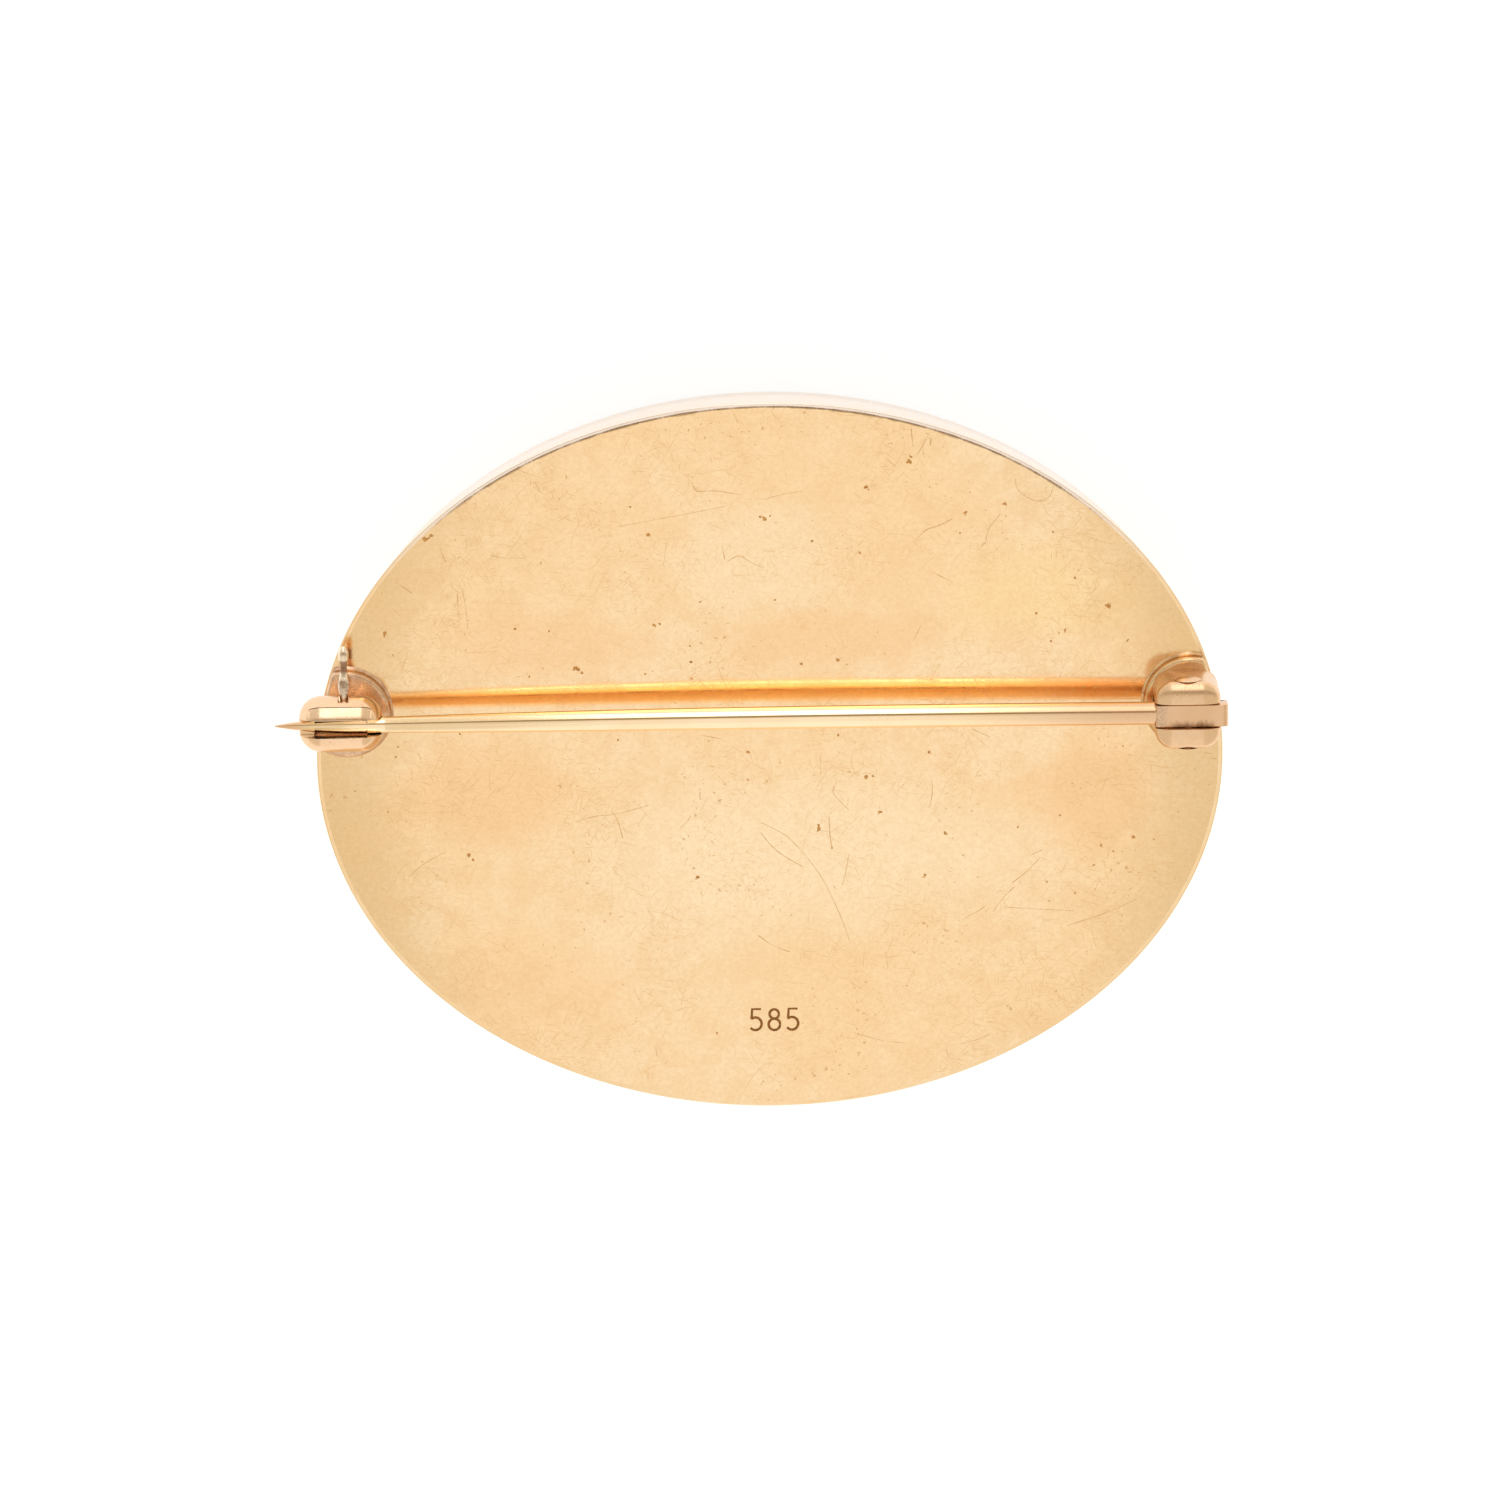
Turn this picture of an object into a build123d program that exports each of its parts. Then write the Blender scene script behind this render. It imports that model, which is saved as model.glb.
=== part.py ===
from build123d import *
import os
from math import asin, atan2, cos, degrees, hypot, pi, radians, sin

# An oval gold brooch set with a reverse-carved rock crystal, lying face down as it does on a table.
# +Z goes up through its back and its pin, +X along the oval from the catch to the hinge, and +Y
# across it. The crown of the crystal stands on z = 0. Millimetres and degrees.

# Bezel: a plain oval wall that leans in toward the front, where its lip folds over the crystal
rim_length = 45.3
rim_width = 36.3
bezel_depth = 6.0
bezel_lean = 0.70
bezel_wall = 0.60
lip_thickness = 0.45
lip_reach = 0.45
bearer_thickness = 0.50
bearer_reach = 0.80

# Back plate: domed, soldered inside the rim, with a fine seam between it and the rim's land
land_width = 0.15
seam_width = 0.06
seam_depth = 0.08
plate_thickness = 0.55
plate_rise = 0.35
plate_foot = 0.30
crown_share = 0.67
crown_slope = 0.8

# Crystal, its mother-of-pearl backing and the carved flower that is painted from behind
crystal_rise = 4.20
girdle_height = 2.60
setting_gap = 0.04
pearl_thickness = 0.70
carving_depth = 0.50
carving_gap = 0.03
petal_count = 5
petal_length = 4.6
petal_width = 3.4
petal_ring = 2.6
flower_eye_radius = 1.3
flower_x = 3.0
flower_y = 4.0
stalk_width = 0.55
stalk_length = 14.0
leaf_length = 5.4
leaf_width = 2.3

# Pin: a round tapered stem with a flat tang, sprung up and a little sideways between hinge and catch
pin_line_y = 2.72
pin_height = 2.75
stem_radius = 0.58
stem_arch = 0.40
stem_bow = 0.16
stem_sections = 9
catch_stem_radius = 0.40
point_radius = 0.03
point_shoulder_radius = 0.225
point_overhang = 1.20
tang_width = 1.20
tang_height = 1.24
tang_front = 1.60
tail_reach = 2.00
tail_drop = 0.35
tang_corner = 0.25

# Hinge: a rounded block slotted into two ears, on a raised round base
hinge_inset = 1.90
ear_length = 3.25
ear_span = 3.40
ear_top = 1.00
ear_corner = 0.90
ear_edge = 0.55
tang_side_gap = 0.03
hinge_base_radius = 2.30
hinge_base_shift = 0.25
base_edge = 0.25
base_inset = 0.08
pin_stop_angle = 70.0

# Rivet: the pin that the tang turns on, with low domed heads
rivet_radius = 0.50
rivet_fit = 0.012
tang_fit = 0.025
rivet_head_radius = 0.68
rivet_head_height = 0.14
rivet_head_gap = 0.01

# Catch: a round-ended barrel with an open mouth, and inside it a roller that is turned by a lever
barrel_inset = 1.375
barrel_length = 4.15
barrel_radius = 1.40
barrel_end = 1.10
barrel_wall = 0.25
barrel_end_wall = 0.75
mouth_length = 3.10
mouth_edge_angle = 50.0
cover_gap = 0.03
cover_drop = 0.02
catch_base_radius = 2.20
catch_base_shift = 0.20
post_length = 2.60
post_width = 1.50
post_height = 0.25
roller_gap = 0.03
roller_end_gap = 0.03
roller_wall = 0.25
pin_bore_gap = 0.12
pin_slot_gap = 0.04
lever_angle = 108.0
lever_turn = 36.0
lever_reach = 3.60
lever_width = 0.42
lever_thickness = 0.34
lever_shift = 0.16
lever_tip_radius = 0.26
lever_root = 0.10
lever_gap = 0.06

# Heights
front_z = crystal_rise
back_z = front_z + bezel_depth
girdle_z = front_z + lip_thickness
crystal_back_z = girdle_z + girdle_height
pearl_z = crystal_back_z + setting_gap
bearer_z = pearl_z + pearl_thickness + setting_gap
plate_z = back_z + plate_rise
pin_z = back_z + pin_height

# Plate edge, half way along X and Y
plate_inset = land_width + seam_width
plate_half_length = rim_length / 2 - plate_inset
plate_half_width = rim_width / 2 - plate_inset

# Places of the hinge's rivet and the catch along the oval, in from the rim's two ends
hinge_x = rim_length / 2 - hinge_inset
barrel_x = barrel_inset - rim_length / 2

# Catch, from the outside in
chamber_radius = barrel_radius - barrel_wall
chamber_length = barrel_length - 2 * barrel_end_wall
roller_radius = chamber_radius - roller_gap
roller_bore = roller_radius - roller_wall
roller_length = chamber_length - 2 * roller_end_gap
pin_slot_half = catch_stem_radius + pin_slot_gap
barrel_z = pin_z - (roller_bore - catch_stem_radius - pin_bore_gap)
catch_base_z = barrel_z - barrel_radius - post_height
mouth_low_angle = -degrees(asin(pin_slot_half / barrel_radius))
cover_edge_turn = degrees(cover_gap / barrel_radius)
lever_half_angle = degrees(asin((lever_thickness / 2 + lever_gap) / chamber_radius))
barrel_inner_x = barrel_x + barrel_length / 2
barrel_outer_x = barrel_x - barrel_length / 2

# Hinge: the tail of the tang comes down on the base between the ears at the pin's widest opening
tail_radius = hypot(tail_reach, tail_drop)
tail_angle = degrees(atan2(tail_drop, tail_reach))
hinge_base_z = pin_z - tail_radius * sin(radians(pin_stop_angle + tail_angle))
pin_point_x = barrel_outer_x - point_overhang
pin_tail_x = hinge_x + tail_reach

# The frame's origin is under the middle of the whole brooch, pin and tail included
origin_x = (pin_point_x + pin_tail_x) / 2

# Leaves along the stalk below the petals: share of that stretch, the turn from it, and size as a
# share of the leaf's
petal_reach = petal_ring + petal_length / 2
bare_stalk = stalk_length - petal_reach
leaves = [
    {"way": 0.42, "turn": 52.0, "size": 1.0},
    {"way": 0.70, "turn": -50.0, "size": 0.85},
    {"way": 0.97, "turn": 38.0, "size": 0.7},
]
stalk_lean = 22.0


def wall_oval(z, inset):
    """The leaning wall's oval at a height, moved in from its outer face."""
    lean = bezel_lean * (back_z - z) / bezel_depth
    return Pos(0, 0, z) * Ellipse(rim_length / 2 - lean - inset, rim_width / 2 - lean - inset)


def wall_block(low, high, inset):
    """A solid oval that keeps the wall's lean between two heights."""
    return loft([wall_oval(low, inset).face(), wall_oval(high, inset).face()], ruled=True)


def dome_block(edge_z, depth):
    """The plate's dome as a solid: two tangent arcs turned about Z, then narrowed to the oval."""
    shoulder = crown_share * plate_half_length
    crown_radius = shoulder / sin(radians(crown_slope))
    top = edge_z + plate_rise
    shoulder_z = top - crown_radius * (1 - cos(radians(crown_slope)))
    half = crown_slope / 2
    mid = (crown_radius * sin(radians(half)), top - crown_radius * (1 - cos(radians(half))))
    crown = ThreePointArc((0, top), mid, (shoulder, shoulder_z))
    flank = TangentArc((shoulder, shoulder_z), (plate_half_length, edge_z), tangent=crown % 1)
    side = Polyline((plate_half_length, edge_z), (plate_half_length, edge_z - depth),
                    (0, edge_z - depth), (0, top))
    profile = Plane.XZ * make_face([crown, flank, side])
    return scale(revolve(profile, Axis.Z), by=(1, plate_half_width / plate_half_length, 1))


def seam_ring():
    """The fine groove between the rim's land and the plate."""
    outer = Ellipse(rim_length / 2 - land_width, rim_width / 2 - land_width)
    inner = Ellipse(plate_half_length, plate_half_width)
    return Pos(0, 0, back_z - seam_depth) * extrude(outer - inner, seam_depth * 2)


def hollow():
    """The room for the crystal and its backing, the bearer's ring and the space under the plate."""
    a, b = rim_length / 2 - bezel_lean, rim_width / 2 - bezel_lean
    mouth_inset = bezel_wall + lip_reach
    mouth = extrude(Ellipse(a - mouth_inset, b - mouth_inset), bezel_depth)
    room = wall_block(girdle_z, bearer_z, bezel_wall)
    ring = wall_block(bearer_z, bearer_z + bearer_thickness, bezel_wall + bearer_reach)
    loft_room = wall_block(bearer_z + bearer_thickness, plate_z, bezel_wall)
    under_plate = loft_room & dome_block(back_z - plate_thickness, bezel_depth)
    return Pos(0, 0, front_z - lip_thickness) * mouth + room + ring + under_plate


def along_x(radius, length):
    return Rot(0, 90, 0) * Cylinder(radius, length)


def along_y(radius, length):
    return Rot(90, 0, 0) * Cylinder(radius, length)


def round_base(x, radius, top_z):
    """A raised round base under the hinge or catch, trimmed just inside the rim."""
    height = top_z - back_z + plate_foot
    disc = Pos(x, pin_line_y, top_z - height / 2) * Cylinder(radius, height)
    disc = fillet(disc.edges().group_by(Axis.Z)[-1], base_edge)
    trim = Ellipse(rim_length / 2 - base_inset, rim_width / 2 - base_inset)
    return disc & Pos(0, 0, back_z - plate_foot) * extrude(trim, height + plate_foot)


def hinge_block():
    """The two ears before they are slotted, on their base."""
    foot_z = hinge_base_z - base_edge
    plan = RectangleRounded(ear_length, ear_span, ear_corner)
    block = extrude(plan, pin_z + ear_top - foot_z)
    block = fillet(block.edges().group_by(Axis.Z)[-1], ear_edge)
    base = round_base(hinge_x + hinge_base_shift, hinge_base_radius, hinge_base_z)
    return Pos(hinge_x, pin_line_y, foot_z) * block + base


def hinge_cuts():
    """The slot for the tang, and the rivet's bore."""
    slot_width = tang_width + 2 * tang_side_gap
    slot_height = ear_top * 2 + pin_z - hinge_base_z
    slot = Pos(hinge_x, pin_line_y, hinge_base_z + slot_height / 2) * Box(
        2 * ear_length, slot_width, slot_height)
    bore = Pos(hinge_x, pin_line_y, pin_z) * along_y(rivet_radius + rivet_fit, 2 * ear_span)
    return slot + bore


def polar(radius, angle):
    """A point across the catch, with its angle from straight up toward +Y."""
    return radius * sin(radians(angle)), radius * cos(radians(angle))


def arc_band(inner, outer, start, end, width):
    """A piece of ring about the catch's axis, between two angles."""
    mid = (start + end) / 2
    face = make_face([
        ThreePointArc(polar(inner, start), polar(inner, mid), polar(inner, end)),
        Line(polar(inner, end), polar(outer, end)),
        ThreePointArc(polar(outer, end), polar(outer, mid), polar(outer, start)),
        Line(polar(outer, start), polar(inner, start)),
    ])
    return extrude(Plane.YZ * face, width / 2, both=True)


def at_barrel(shape):
    return Pos(barrel_x, pin_line_y, barrel_z) * shape


def rounded_barrel(inset):
    """The barrel with its rounded ends, moved in all over."""
    barrel = along_x(barrel_radius - inset, barrel_length - 2 * inset)
    return fillet(barrel.edges().filter_by(GeomType.CIRCLE), barrel_end - inset)


def catch_block():
    """The barrel on a short post and a base."""
    post_room = barrel_radius + post_height + base_edge
    post = Pos(0, 0, -post_room / 2) * Box(post_length, post_width, post_room)
    base = round_base(barrel_x + catch_base_shift, catch_base_radius, catch_base_z)
    return at_barrel(rounded_barrel(0) + post) + base


def pin_way():
    """The way that the pin takes down into the catch: a slot, open at the top."""
    lift = pin_z - barrel_z
    height = 2 * barrel_radius
    slot = Pos(0, 0, lift + height / 2) * Box(2 * barrel_length, 2 * pin_slot_half, height)
    return slot + Pos(0, 0, lift) * along_x(pin_slot_half, 2 * barrel_length)


def catch_cuts():
    """The roller's chamber, the barrel's mouth, the pin's way in and the lever's slot."""
    beyond = 2 * barrel_radius
    chamber = along_x(chamber_radius, chamber_length)
    mouth = arc_band(chamber_radius, beyond, mouth_low_angle, mouth_edge_angle, mouth_length)
    slot = arc_band(chamber_radius / 2, beyond, lever_angle - lever_turn - lever_half_angle,
                    lever_angle + lever_half_angle, lever_width + 2 * lever_gap)
    return at_barrel(chamber + mouth + pin_way() + Pos(lever_shift, 0, 0) * slot)


def make_setting():
    shell = wall_block(front_z, back_z, 0) - seam_ring()
    shell = shell + dome_block(back_z, plate_foot)
    shell = shell + hinge_block() + catch_block()
    return shell - hollow() - hinge_cuts() - catch_cuts()


def crystal_crown():
    """The crystal's domed front, a cap of a ball narrowed to the oval of the lip's mouth."""
    inset = bezel_wall + lip_reach + setting_gap
    half_length = rim_length / 2 - bezel_lean - inset
    half_width = rim_width / 2 - bezel_lean - inset
    ball = (half_length ** 2 + girdle_z ** 2) / (2 * girdle_z)
    reach = atan2(half_length, ball - girdle_z) / 2
    mid = (ball * sin(reach), ball * (1 - cos(reach)))
    cap = ThreePointArc((0, 0), mid, (half_length, girdle_z))
    foot = girdle_z + setting_gap * 2
    edge = Polyline((half_length, girdle_z), (half_length, foot), (0, foot), (0, 0))
    turned = revolve(Plane.XZ * make_face([cap, edge]), Axis.Z)
    return scale(turned, by=(1, half_width / half_length, 1))


def flower_plan(grow):
    """The carved flower: five petals round an eye, a leaning stalk and its leaves."""
    plan = Circle(flower_eye_radius + grow)
    for index in range(petal_count):
        petal = Pos(petal_ring, 0) * Ellipse(petal_length / 2 + grow, petal_width / 2 + grow)
        plan = plan + Rot(0, 0, 90 + index * 360 / petal_count) * petal
    stalk = Pos(0, -stalk_length / 2) * RectangleRounded(
        stalk_width + 2 * grow, stalk_length + 2 * grow, stalk_width * 0.49)
    growth = stalk
    for leaf in leaves:
        half_length, half_width = leaf["size"] * leaf_length / 2, leaf["size"] * leaf_width / 2
        blade = Pos(0, half_length) * Ellipse(half_width + grow, half_length + grow)
        foot = petal_reach + leaf["way"] * bare_stalk
        growth = growth + Pos(0, -foot) * Rot(0, 0, leaf["turn"]) * blade
    plan = plan + Rot(0, 0, -stalk_lean) * growth
    return Pos(flower_x, flower_y) * plan


def make_crystal():
    inset = bezel_wall + setting_gap
    girdle = wall_block(girdle_z + setting_gap, crystal_back_z, inset)
    carving = extrude(flower_plan(carving_gap), 2 * carving_depth)
    return girdle + crystal_crown() - Pos(0, 0, crystal_back_z - carving_depth) * carving


def make_painted_flower():
    fill = extrude(flower_plan(0), carving_depth - carving_gap)
    return Pos(0, 0, crystal_back_z - carving_depth + carving_gap) * fill


def make_pearl_backing():
    return wall_block(pearl_z, pearl_z + pearl_thickness, bezel_wall + setting_gap)


def make_hinge_rivet():
    shank = along_y(rivet_radius, ear_span + 2 * rivet_head_gap)
    ball = (rivet_head_radius ** 2 + rivet_head_height ** 2) / (2 * rivet_head_height)
    face = ear_span / 2 + rivet_head_gap
    cap_room = Pos(0, 0, rivet_head_height / 2) * Cylinder(rivet_head_radius, rivet_head_height)
    cap = cap_room & Pos(0, 0, rivet_head_height - ball) * Sphere(ball)
    heads = Rot(-90, 0, 0) * Pos(0, 0, face) * cap + Rot(90, 0, 0) * Pos(0, 0, face) * cap
    return Pos(hinge_x, pin_line_y, pin_z) * (shank + heads)


def make_tang():
    """The flat end of the pin between the ears, with the tail that stops it when it is open."""
    half = tang_height / 2
    outline = Polyline(
        (-tang_front, -half),
        (-tang_front, half),
        (tail_reach, half),
        (tail_reach, -tail_drop),
        (rivet_radius, -half),
        close=True)
    plate = extrude(Plane.XZ * make_face(outline), tang_width / 2, both=True)
    corners = plate.edges().filter_by(Axis.Y).group_by(Axis.X)[-1].sort_by(Axis.Z)
    plate = fillet(corners[-1], tang_corner)
    return plate - along_y(rivet_radius + tang_fit, 2 * tang_width)


def stem_disc(way, start_x, end_x):
    """A round section of the stem: it leaves the hinge and meets the catch straight, bows between
    them, and thins mostly near the catch."""
    bow = sin(pi * way) ** 2
    radius = stem_radius + way ** 4 * (catch_stem_radius - stem_radius)
    centre = (start_x + way * (end_x - start_x), bow * stem_bow, bow * stem_arch)
    return Plane(centre, x_dir=(0, 1, 0), z_dir=(-1, 0, 0)) * Circle(radius)


def make_stem():
    """The round stem as one smooth tapered rod, from inside the tang to the catch."""
    start_x = -rivet_radius - tang_fit - stem_radius
    end_x = barrel_inner_x - hinge_x
    ways = [index / (stem_sections - 1) for index in range(stem_sections)]
    return loft([stem_disc(way, start_x, end_x).face() for way in ways])


def make_point():
    """The tapering point through the catch, turned about the pin's own line."""
    start = barrel_inner_x - hinge_x
    shoulder = barrel_outer_x - hinge_x
    end = pin_point_x - hinge_x
    taper = ThreePointArc((start, catch_stem_radius), (shoulder, point_shoulder_radius),
                          (end, point_radius))
    axis_side = Polyline((end, point_radius), (end, 0), (start, 0), (start, catch_stem_radius))
    return revolve(Plane.XZ * make_face([taper, axis_side]), Axis.X)


def make_pin_stem():
    return Pos(hinge_x, pin_line_y, pin_z) * (make_tang() + make_stem() + make_point())


def mouth_cover():
    """The raised strip that fills the mouth beside the pin's way, level with the barrel."""
    low = cover_edge_turn - mouth_low_angle
    high = mouth_edge_angle - cover_edge_turn
    beyond = 2 * barrel_radius
    core = arc_band(roller_radius - roller_wall / 2, beyond, low, high, roller_length)
    ends = arc_band(chamber_radius + cover_gap, beyond, low, high, mouth_length - 2 * cover_gap)
    return (core + ends) & rounded_barrel(cover_drop)


def make_catch_roller():
    """The roller in its open place, with its gap over the pin, and its lever by the plate."""
    tube = along_x(roller_radius, roller_length) - along_x(roller_bore, 2 * roller_length)
    tube = tube + mouth_cover() - pin_way()
    root = roller_bore + lever_root
    length = lever_reach - root
    bar = Pos(lever_shift, 0, root + length / 2) * Box(lever_width, lever_thickness, length)
    bar = fillet(bar.edges().group_by(Axis.Z)[-1].filter_by(Axis.X), lever_thickness * 0.4)
    tip = Pos(lever_shift, 0, lever_reach) * Sphere(lever_tip_radius)
    return at_barrel(tube + Rot(-lever_angle, 0, 0) * (bar + tip))


def main():
    nodes = {
        "setting": make_setting(),
        "crystal": make_crystal(),
        "painted_flower": make_painted_flower(),
        "pearl_backing": make_pearl_backing(),
        "hinge_rivet": make_hinge_rivet(),
        "pin_stem": make_pin_stem(),
        "catch_roller": make_catch_roller(),
    }
    os.makedirs("parts", exist_ok=True)
    for name, shape in nodes.items():
        placed = Pos(-origin_x, 0, 0) * shape
        export_step(placed, f"parts/{name}.step")
        box = placed.bounding_box()
        print(name, len(placed.solids()), round(placed.volume, 3),
              [round(v, 3) for v in (*box.min, *box.max)])
    print("origin_x", round(origin_x, 4), "pin_z", round(pin_z, 4), "barrel_z", round(barrel_z, 4),
          "hinge_base_z", round(hinge_base_z, 4), "catch_base_z", round(catch_base_z, 4))


main()
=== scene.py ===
import bpy
import bmesh
import math
import random
from mathutils import Matrix, Vector


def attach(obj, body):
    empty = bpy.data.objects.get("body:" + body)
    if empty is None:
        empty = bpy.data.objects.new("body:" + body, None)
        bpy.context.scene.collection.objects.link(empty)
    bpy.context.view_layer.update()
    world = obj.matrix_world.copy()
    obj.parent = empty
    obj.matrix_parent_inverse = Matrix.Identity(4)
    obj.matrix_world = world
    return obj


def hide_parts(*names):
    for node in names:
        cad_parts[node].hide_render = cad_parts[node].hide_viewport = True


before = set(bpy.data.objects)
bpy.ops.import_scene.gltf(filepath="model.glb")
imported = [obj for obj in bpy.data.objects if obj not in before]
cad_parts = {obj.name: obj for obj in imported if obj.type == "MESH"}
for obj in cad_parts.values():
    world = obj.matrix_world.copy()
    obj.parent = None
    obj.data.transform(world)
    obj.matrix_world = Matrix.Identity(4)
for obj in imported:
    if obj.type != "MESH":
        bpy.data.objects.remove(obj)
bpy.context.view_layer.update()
print("frame loaded with", len(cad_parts), "solids")

mm = 0.001  # everything is modelled in millimetres, and made metres when it is finished
fullTurn = 2 * math.pi
quarterTurn = math.pi / 2

places = {  # places that several pieces share, in mm, as the solids have them
    "plateX": 0.9,
    "rimHalfLength": 22.65,
    "rimHalfWidth": 18.15,
    "frontZ": 4.2,
    "backZ": 10.2,
    "lean": 0.70,
    "hingeX": 21.65,
    "catchX": -20.375,
    "pinY": 2.72,
    "pinZ": 12.95,
    "catchZ": 12.6,
}
plateX = places["plateX"]
backZ = places["backZ"]
pinY = places["pinY"]
pinZ = places["pinZ"]
plateCentre = (plateX, 0.0, 0.0)
plateOval = {"halfLength": 22.44, "halfWidth": 17.94}
seamOval = {"halfLength": 22.47, "halfWidth": 17.97}  # the middle of the seam about the plate
flowerCentre = (3.9, 4.0, 7.0)
settingPart = ("brooch", "yellow_gold", "setting")  # body, slot and the solid that a piece stands for
rivetPart = ("brooch", "yellow_gold", "hinge_rivet")
crystalPart = ("brooch", "rock_crystal", "crystal")
flowerPart = ("brooch", "flower_paint", "painted_flower")
pearlPart = ("brooch", "mother_of_pearl", "pearl_backing")
rollerPart = ("roller", "pin_gold", "catch_roller")
pinPart = ("pin", "pin_gold", "pin_stem")
cameraValues = {
    "tilt": 14.5,  # degrees toward +Y from straight above
    "roll": 0.87,
    "distance": 450.0,
    "lens": 216.0,
    "sensor": 36.0,
    "picture": 1500.0,  # pixels across
    "aim": (-0.99, 0.40),  # image centre from the plate's centre, in mm across the image
}


def cameraFrame():
    # the camera's right, top and back, and the point it looks at, in mm
    v = cameraValues
    tilt, roll = math.radians(v["tilt"]), math.radians(v["roll"])
    across = Vector((1.0, 0.0, 0.0))
    up = Vector((0.0, math.cos(tilt), -math.sin(tilt)))
    right = across * math.cos(roll) - up * math.sin(roll)
    top = across * math.sin(roll) + up * math.cos(roll)
    centre = Vector((plateX, 0.0, backZ)) + right * v["aim"][0] + top * v["aim"][1]
    return right, top, right.cross(top), centre


# values inside a node tree

class Field:
    # a node's output; the signs below give it plain arithmetic with numbers and other fields
    def __init__(self, socket):
        self.socket = socket
        self.tree = socket.id_data

    def __abs__(self):
        return calc("ABSOLUTE", self)


signs = {"add": "ADD", "sub": "SUBTRACT", "mul": "MULTIPLY", "truediv": "DIVIDE", "pow": "POWER"}
for method, sign in signs.items():
    setattr(Field, "__" + method + "__", lambda self, other, sign=sign: calc(sign, self, other))
    setattr(Field, "__r" + method + "__", lambda self, other, sign=sign: calc(sign, other, self))


def feed(socket, value):
    if isinstance(value, Field):
        value.tree.links.new(value.socket, socket)
    else:
        socket.default_value = value


def addNode(tree, kind, inputs, **settings):
    node = tree.nodes.new(kind)
    for key, value in settings.items():
        setattr(node, key, value)
    for key, value in inputs.items():
        feed(node.inputs[key], value)
    return node


def field(tree, kind, inputs, output=0, **settings):
    return Field(addNode(tree, kind, inputs, **settings).outputs[output])


def treeOf(*values):
    return next(value.tree for value in values if isinstance(value, Field))


def calc(operation, a, b=0.0, clamp=False):
    return field(treeOf(a, b), "ShaderNodeMath", {0: a, 1: b}, operation=operation, use_clamp=clamp)


def larger(a, b):
    return calc("MAXIMUM", a, b)


def diagonal(u, v):
    return calc("SQRT", u * u + v * v)


def between(value, low, high, toLow=0.0, toHigh=1.0):
    # a smooth step
    return field(value.tree, "ShaderNodeMapRange", {
        "Value": value, "From Min": low, "From Max": high, "To Min": toLow, "To Max": toHigh},
        interpolation_type="SMOOTHSTEP")


def falling(value, low, high):
    return between(value, low, high, 1.0, 0.0)


def band(value, low, high, soft):
    return between(value, low - soft, low + soft) * falling(value, high - soft, high + soft)


def splitVector(vector):
    return [Field(part) for part in addNode(vector.tree, "ShaderNodeSeparateXYZ", {0: vector}).outputs]


def joinVector(x, y, z):
    return field(treeOf(x, y, z), "ShaderNodeCombineXYZ", {0: x, 1: y, 2: z})


def addVector(a, b):
    return field(a.tree, "ShaderNodeVectorMath", {0: a, 1: b}, operation="ADD")


def scaleVector(vector, factor):
    return field(vector.tree, "ShaderNodeVectorMath", {0: vector, "Scale": factor}, operation="SCALE")


def noise(vector, scale, detail, roughness=0.5, distortion=0.0, output="Fac"):
    return field(vector.tree, "ShaderNodeTexNoise", {
        "Vector": vector, "Scale": scale, "Detail": detail, "Roughness": roughness,
        "Distortion": distortion}, output)


socketKinds = {
    float: "Float",
    int: "Int",
    tuple: "Vector",
    bpy.types.Object: "Object",
    bpy.types.Material: "Material",
}


def newGroup(name, kind, values, outputs, outputKind):
    # each input gets the kind that its first value has
    tree = bpy.data.node_groups.new(name, kind)
    for key, value in values.items():
        socketKind = "NodeSocket" + socketKinds[type(value)]
        socket = tree.interface.new_socket(name=key, in_out="INPUT", socket_type=socketKind)
        if not isinstance(value, bpy.types.ID):
            socket.default_value = value
    for key in outputs:
        tree.interface.new_socket(name=key, in_out="OUTPUT", socket_type="NodeSocket" + outputKind)
    given = tree.nodes.new("NodeGroupInput").outputs
    return tree, [Field(given[key]) for key in values], tree.nodes.new("NodeGroupOutput").inputs


def shaderGroup(build, outputs=("mask",), **values):
    # a group whose outputs are what build gives for its inputs
    values = {"vector": (0.0, 0.0, 0.0), **values}
    tree, given, out = newGroup(build.__name__, "ShaderNodeTree", values, outputs, "Float")
    for key, value in zip(outputs, build(*given)):
        feed(out[key], value)
    return tree


def useGroup(group, vector, **values):
    # the group's mask, or its outputs by name where it has several
    node = addNode(vector.tree, "ShaderNodeGroup", {"vector": vector, **values}, node_tree=group)
    found = {socket.name: Field(socket) for socket in node.outputs}
    return found.get("mask", found)


# shader groups that the metals share

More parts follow.
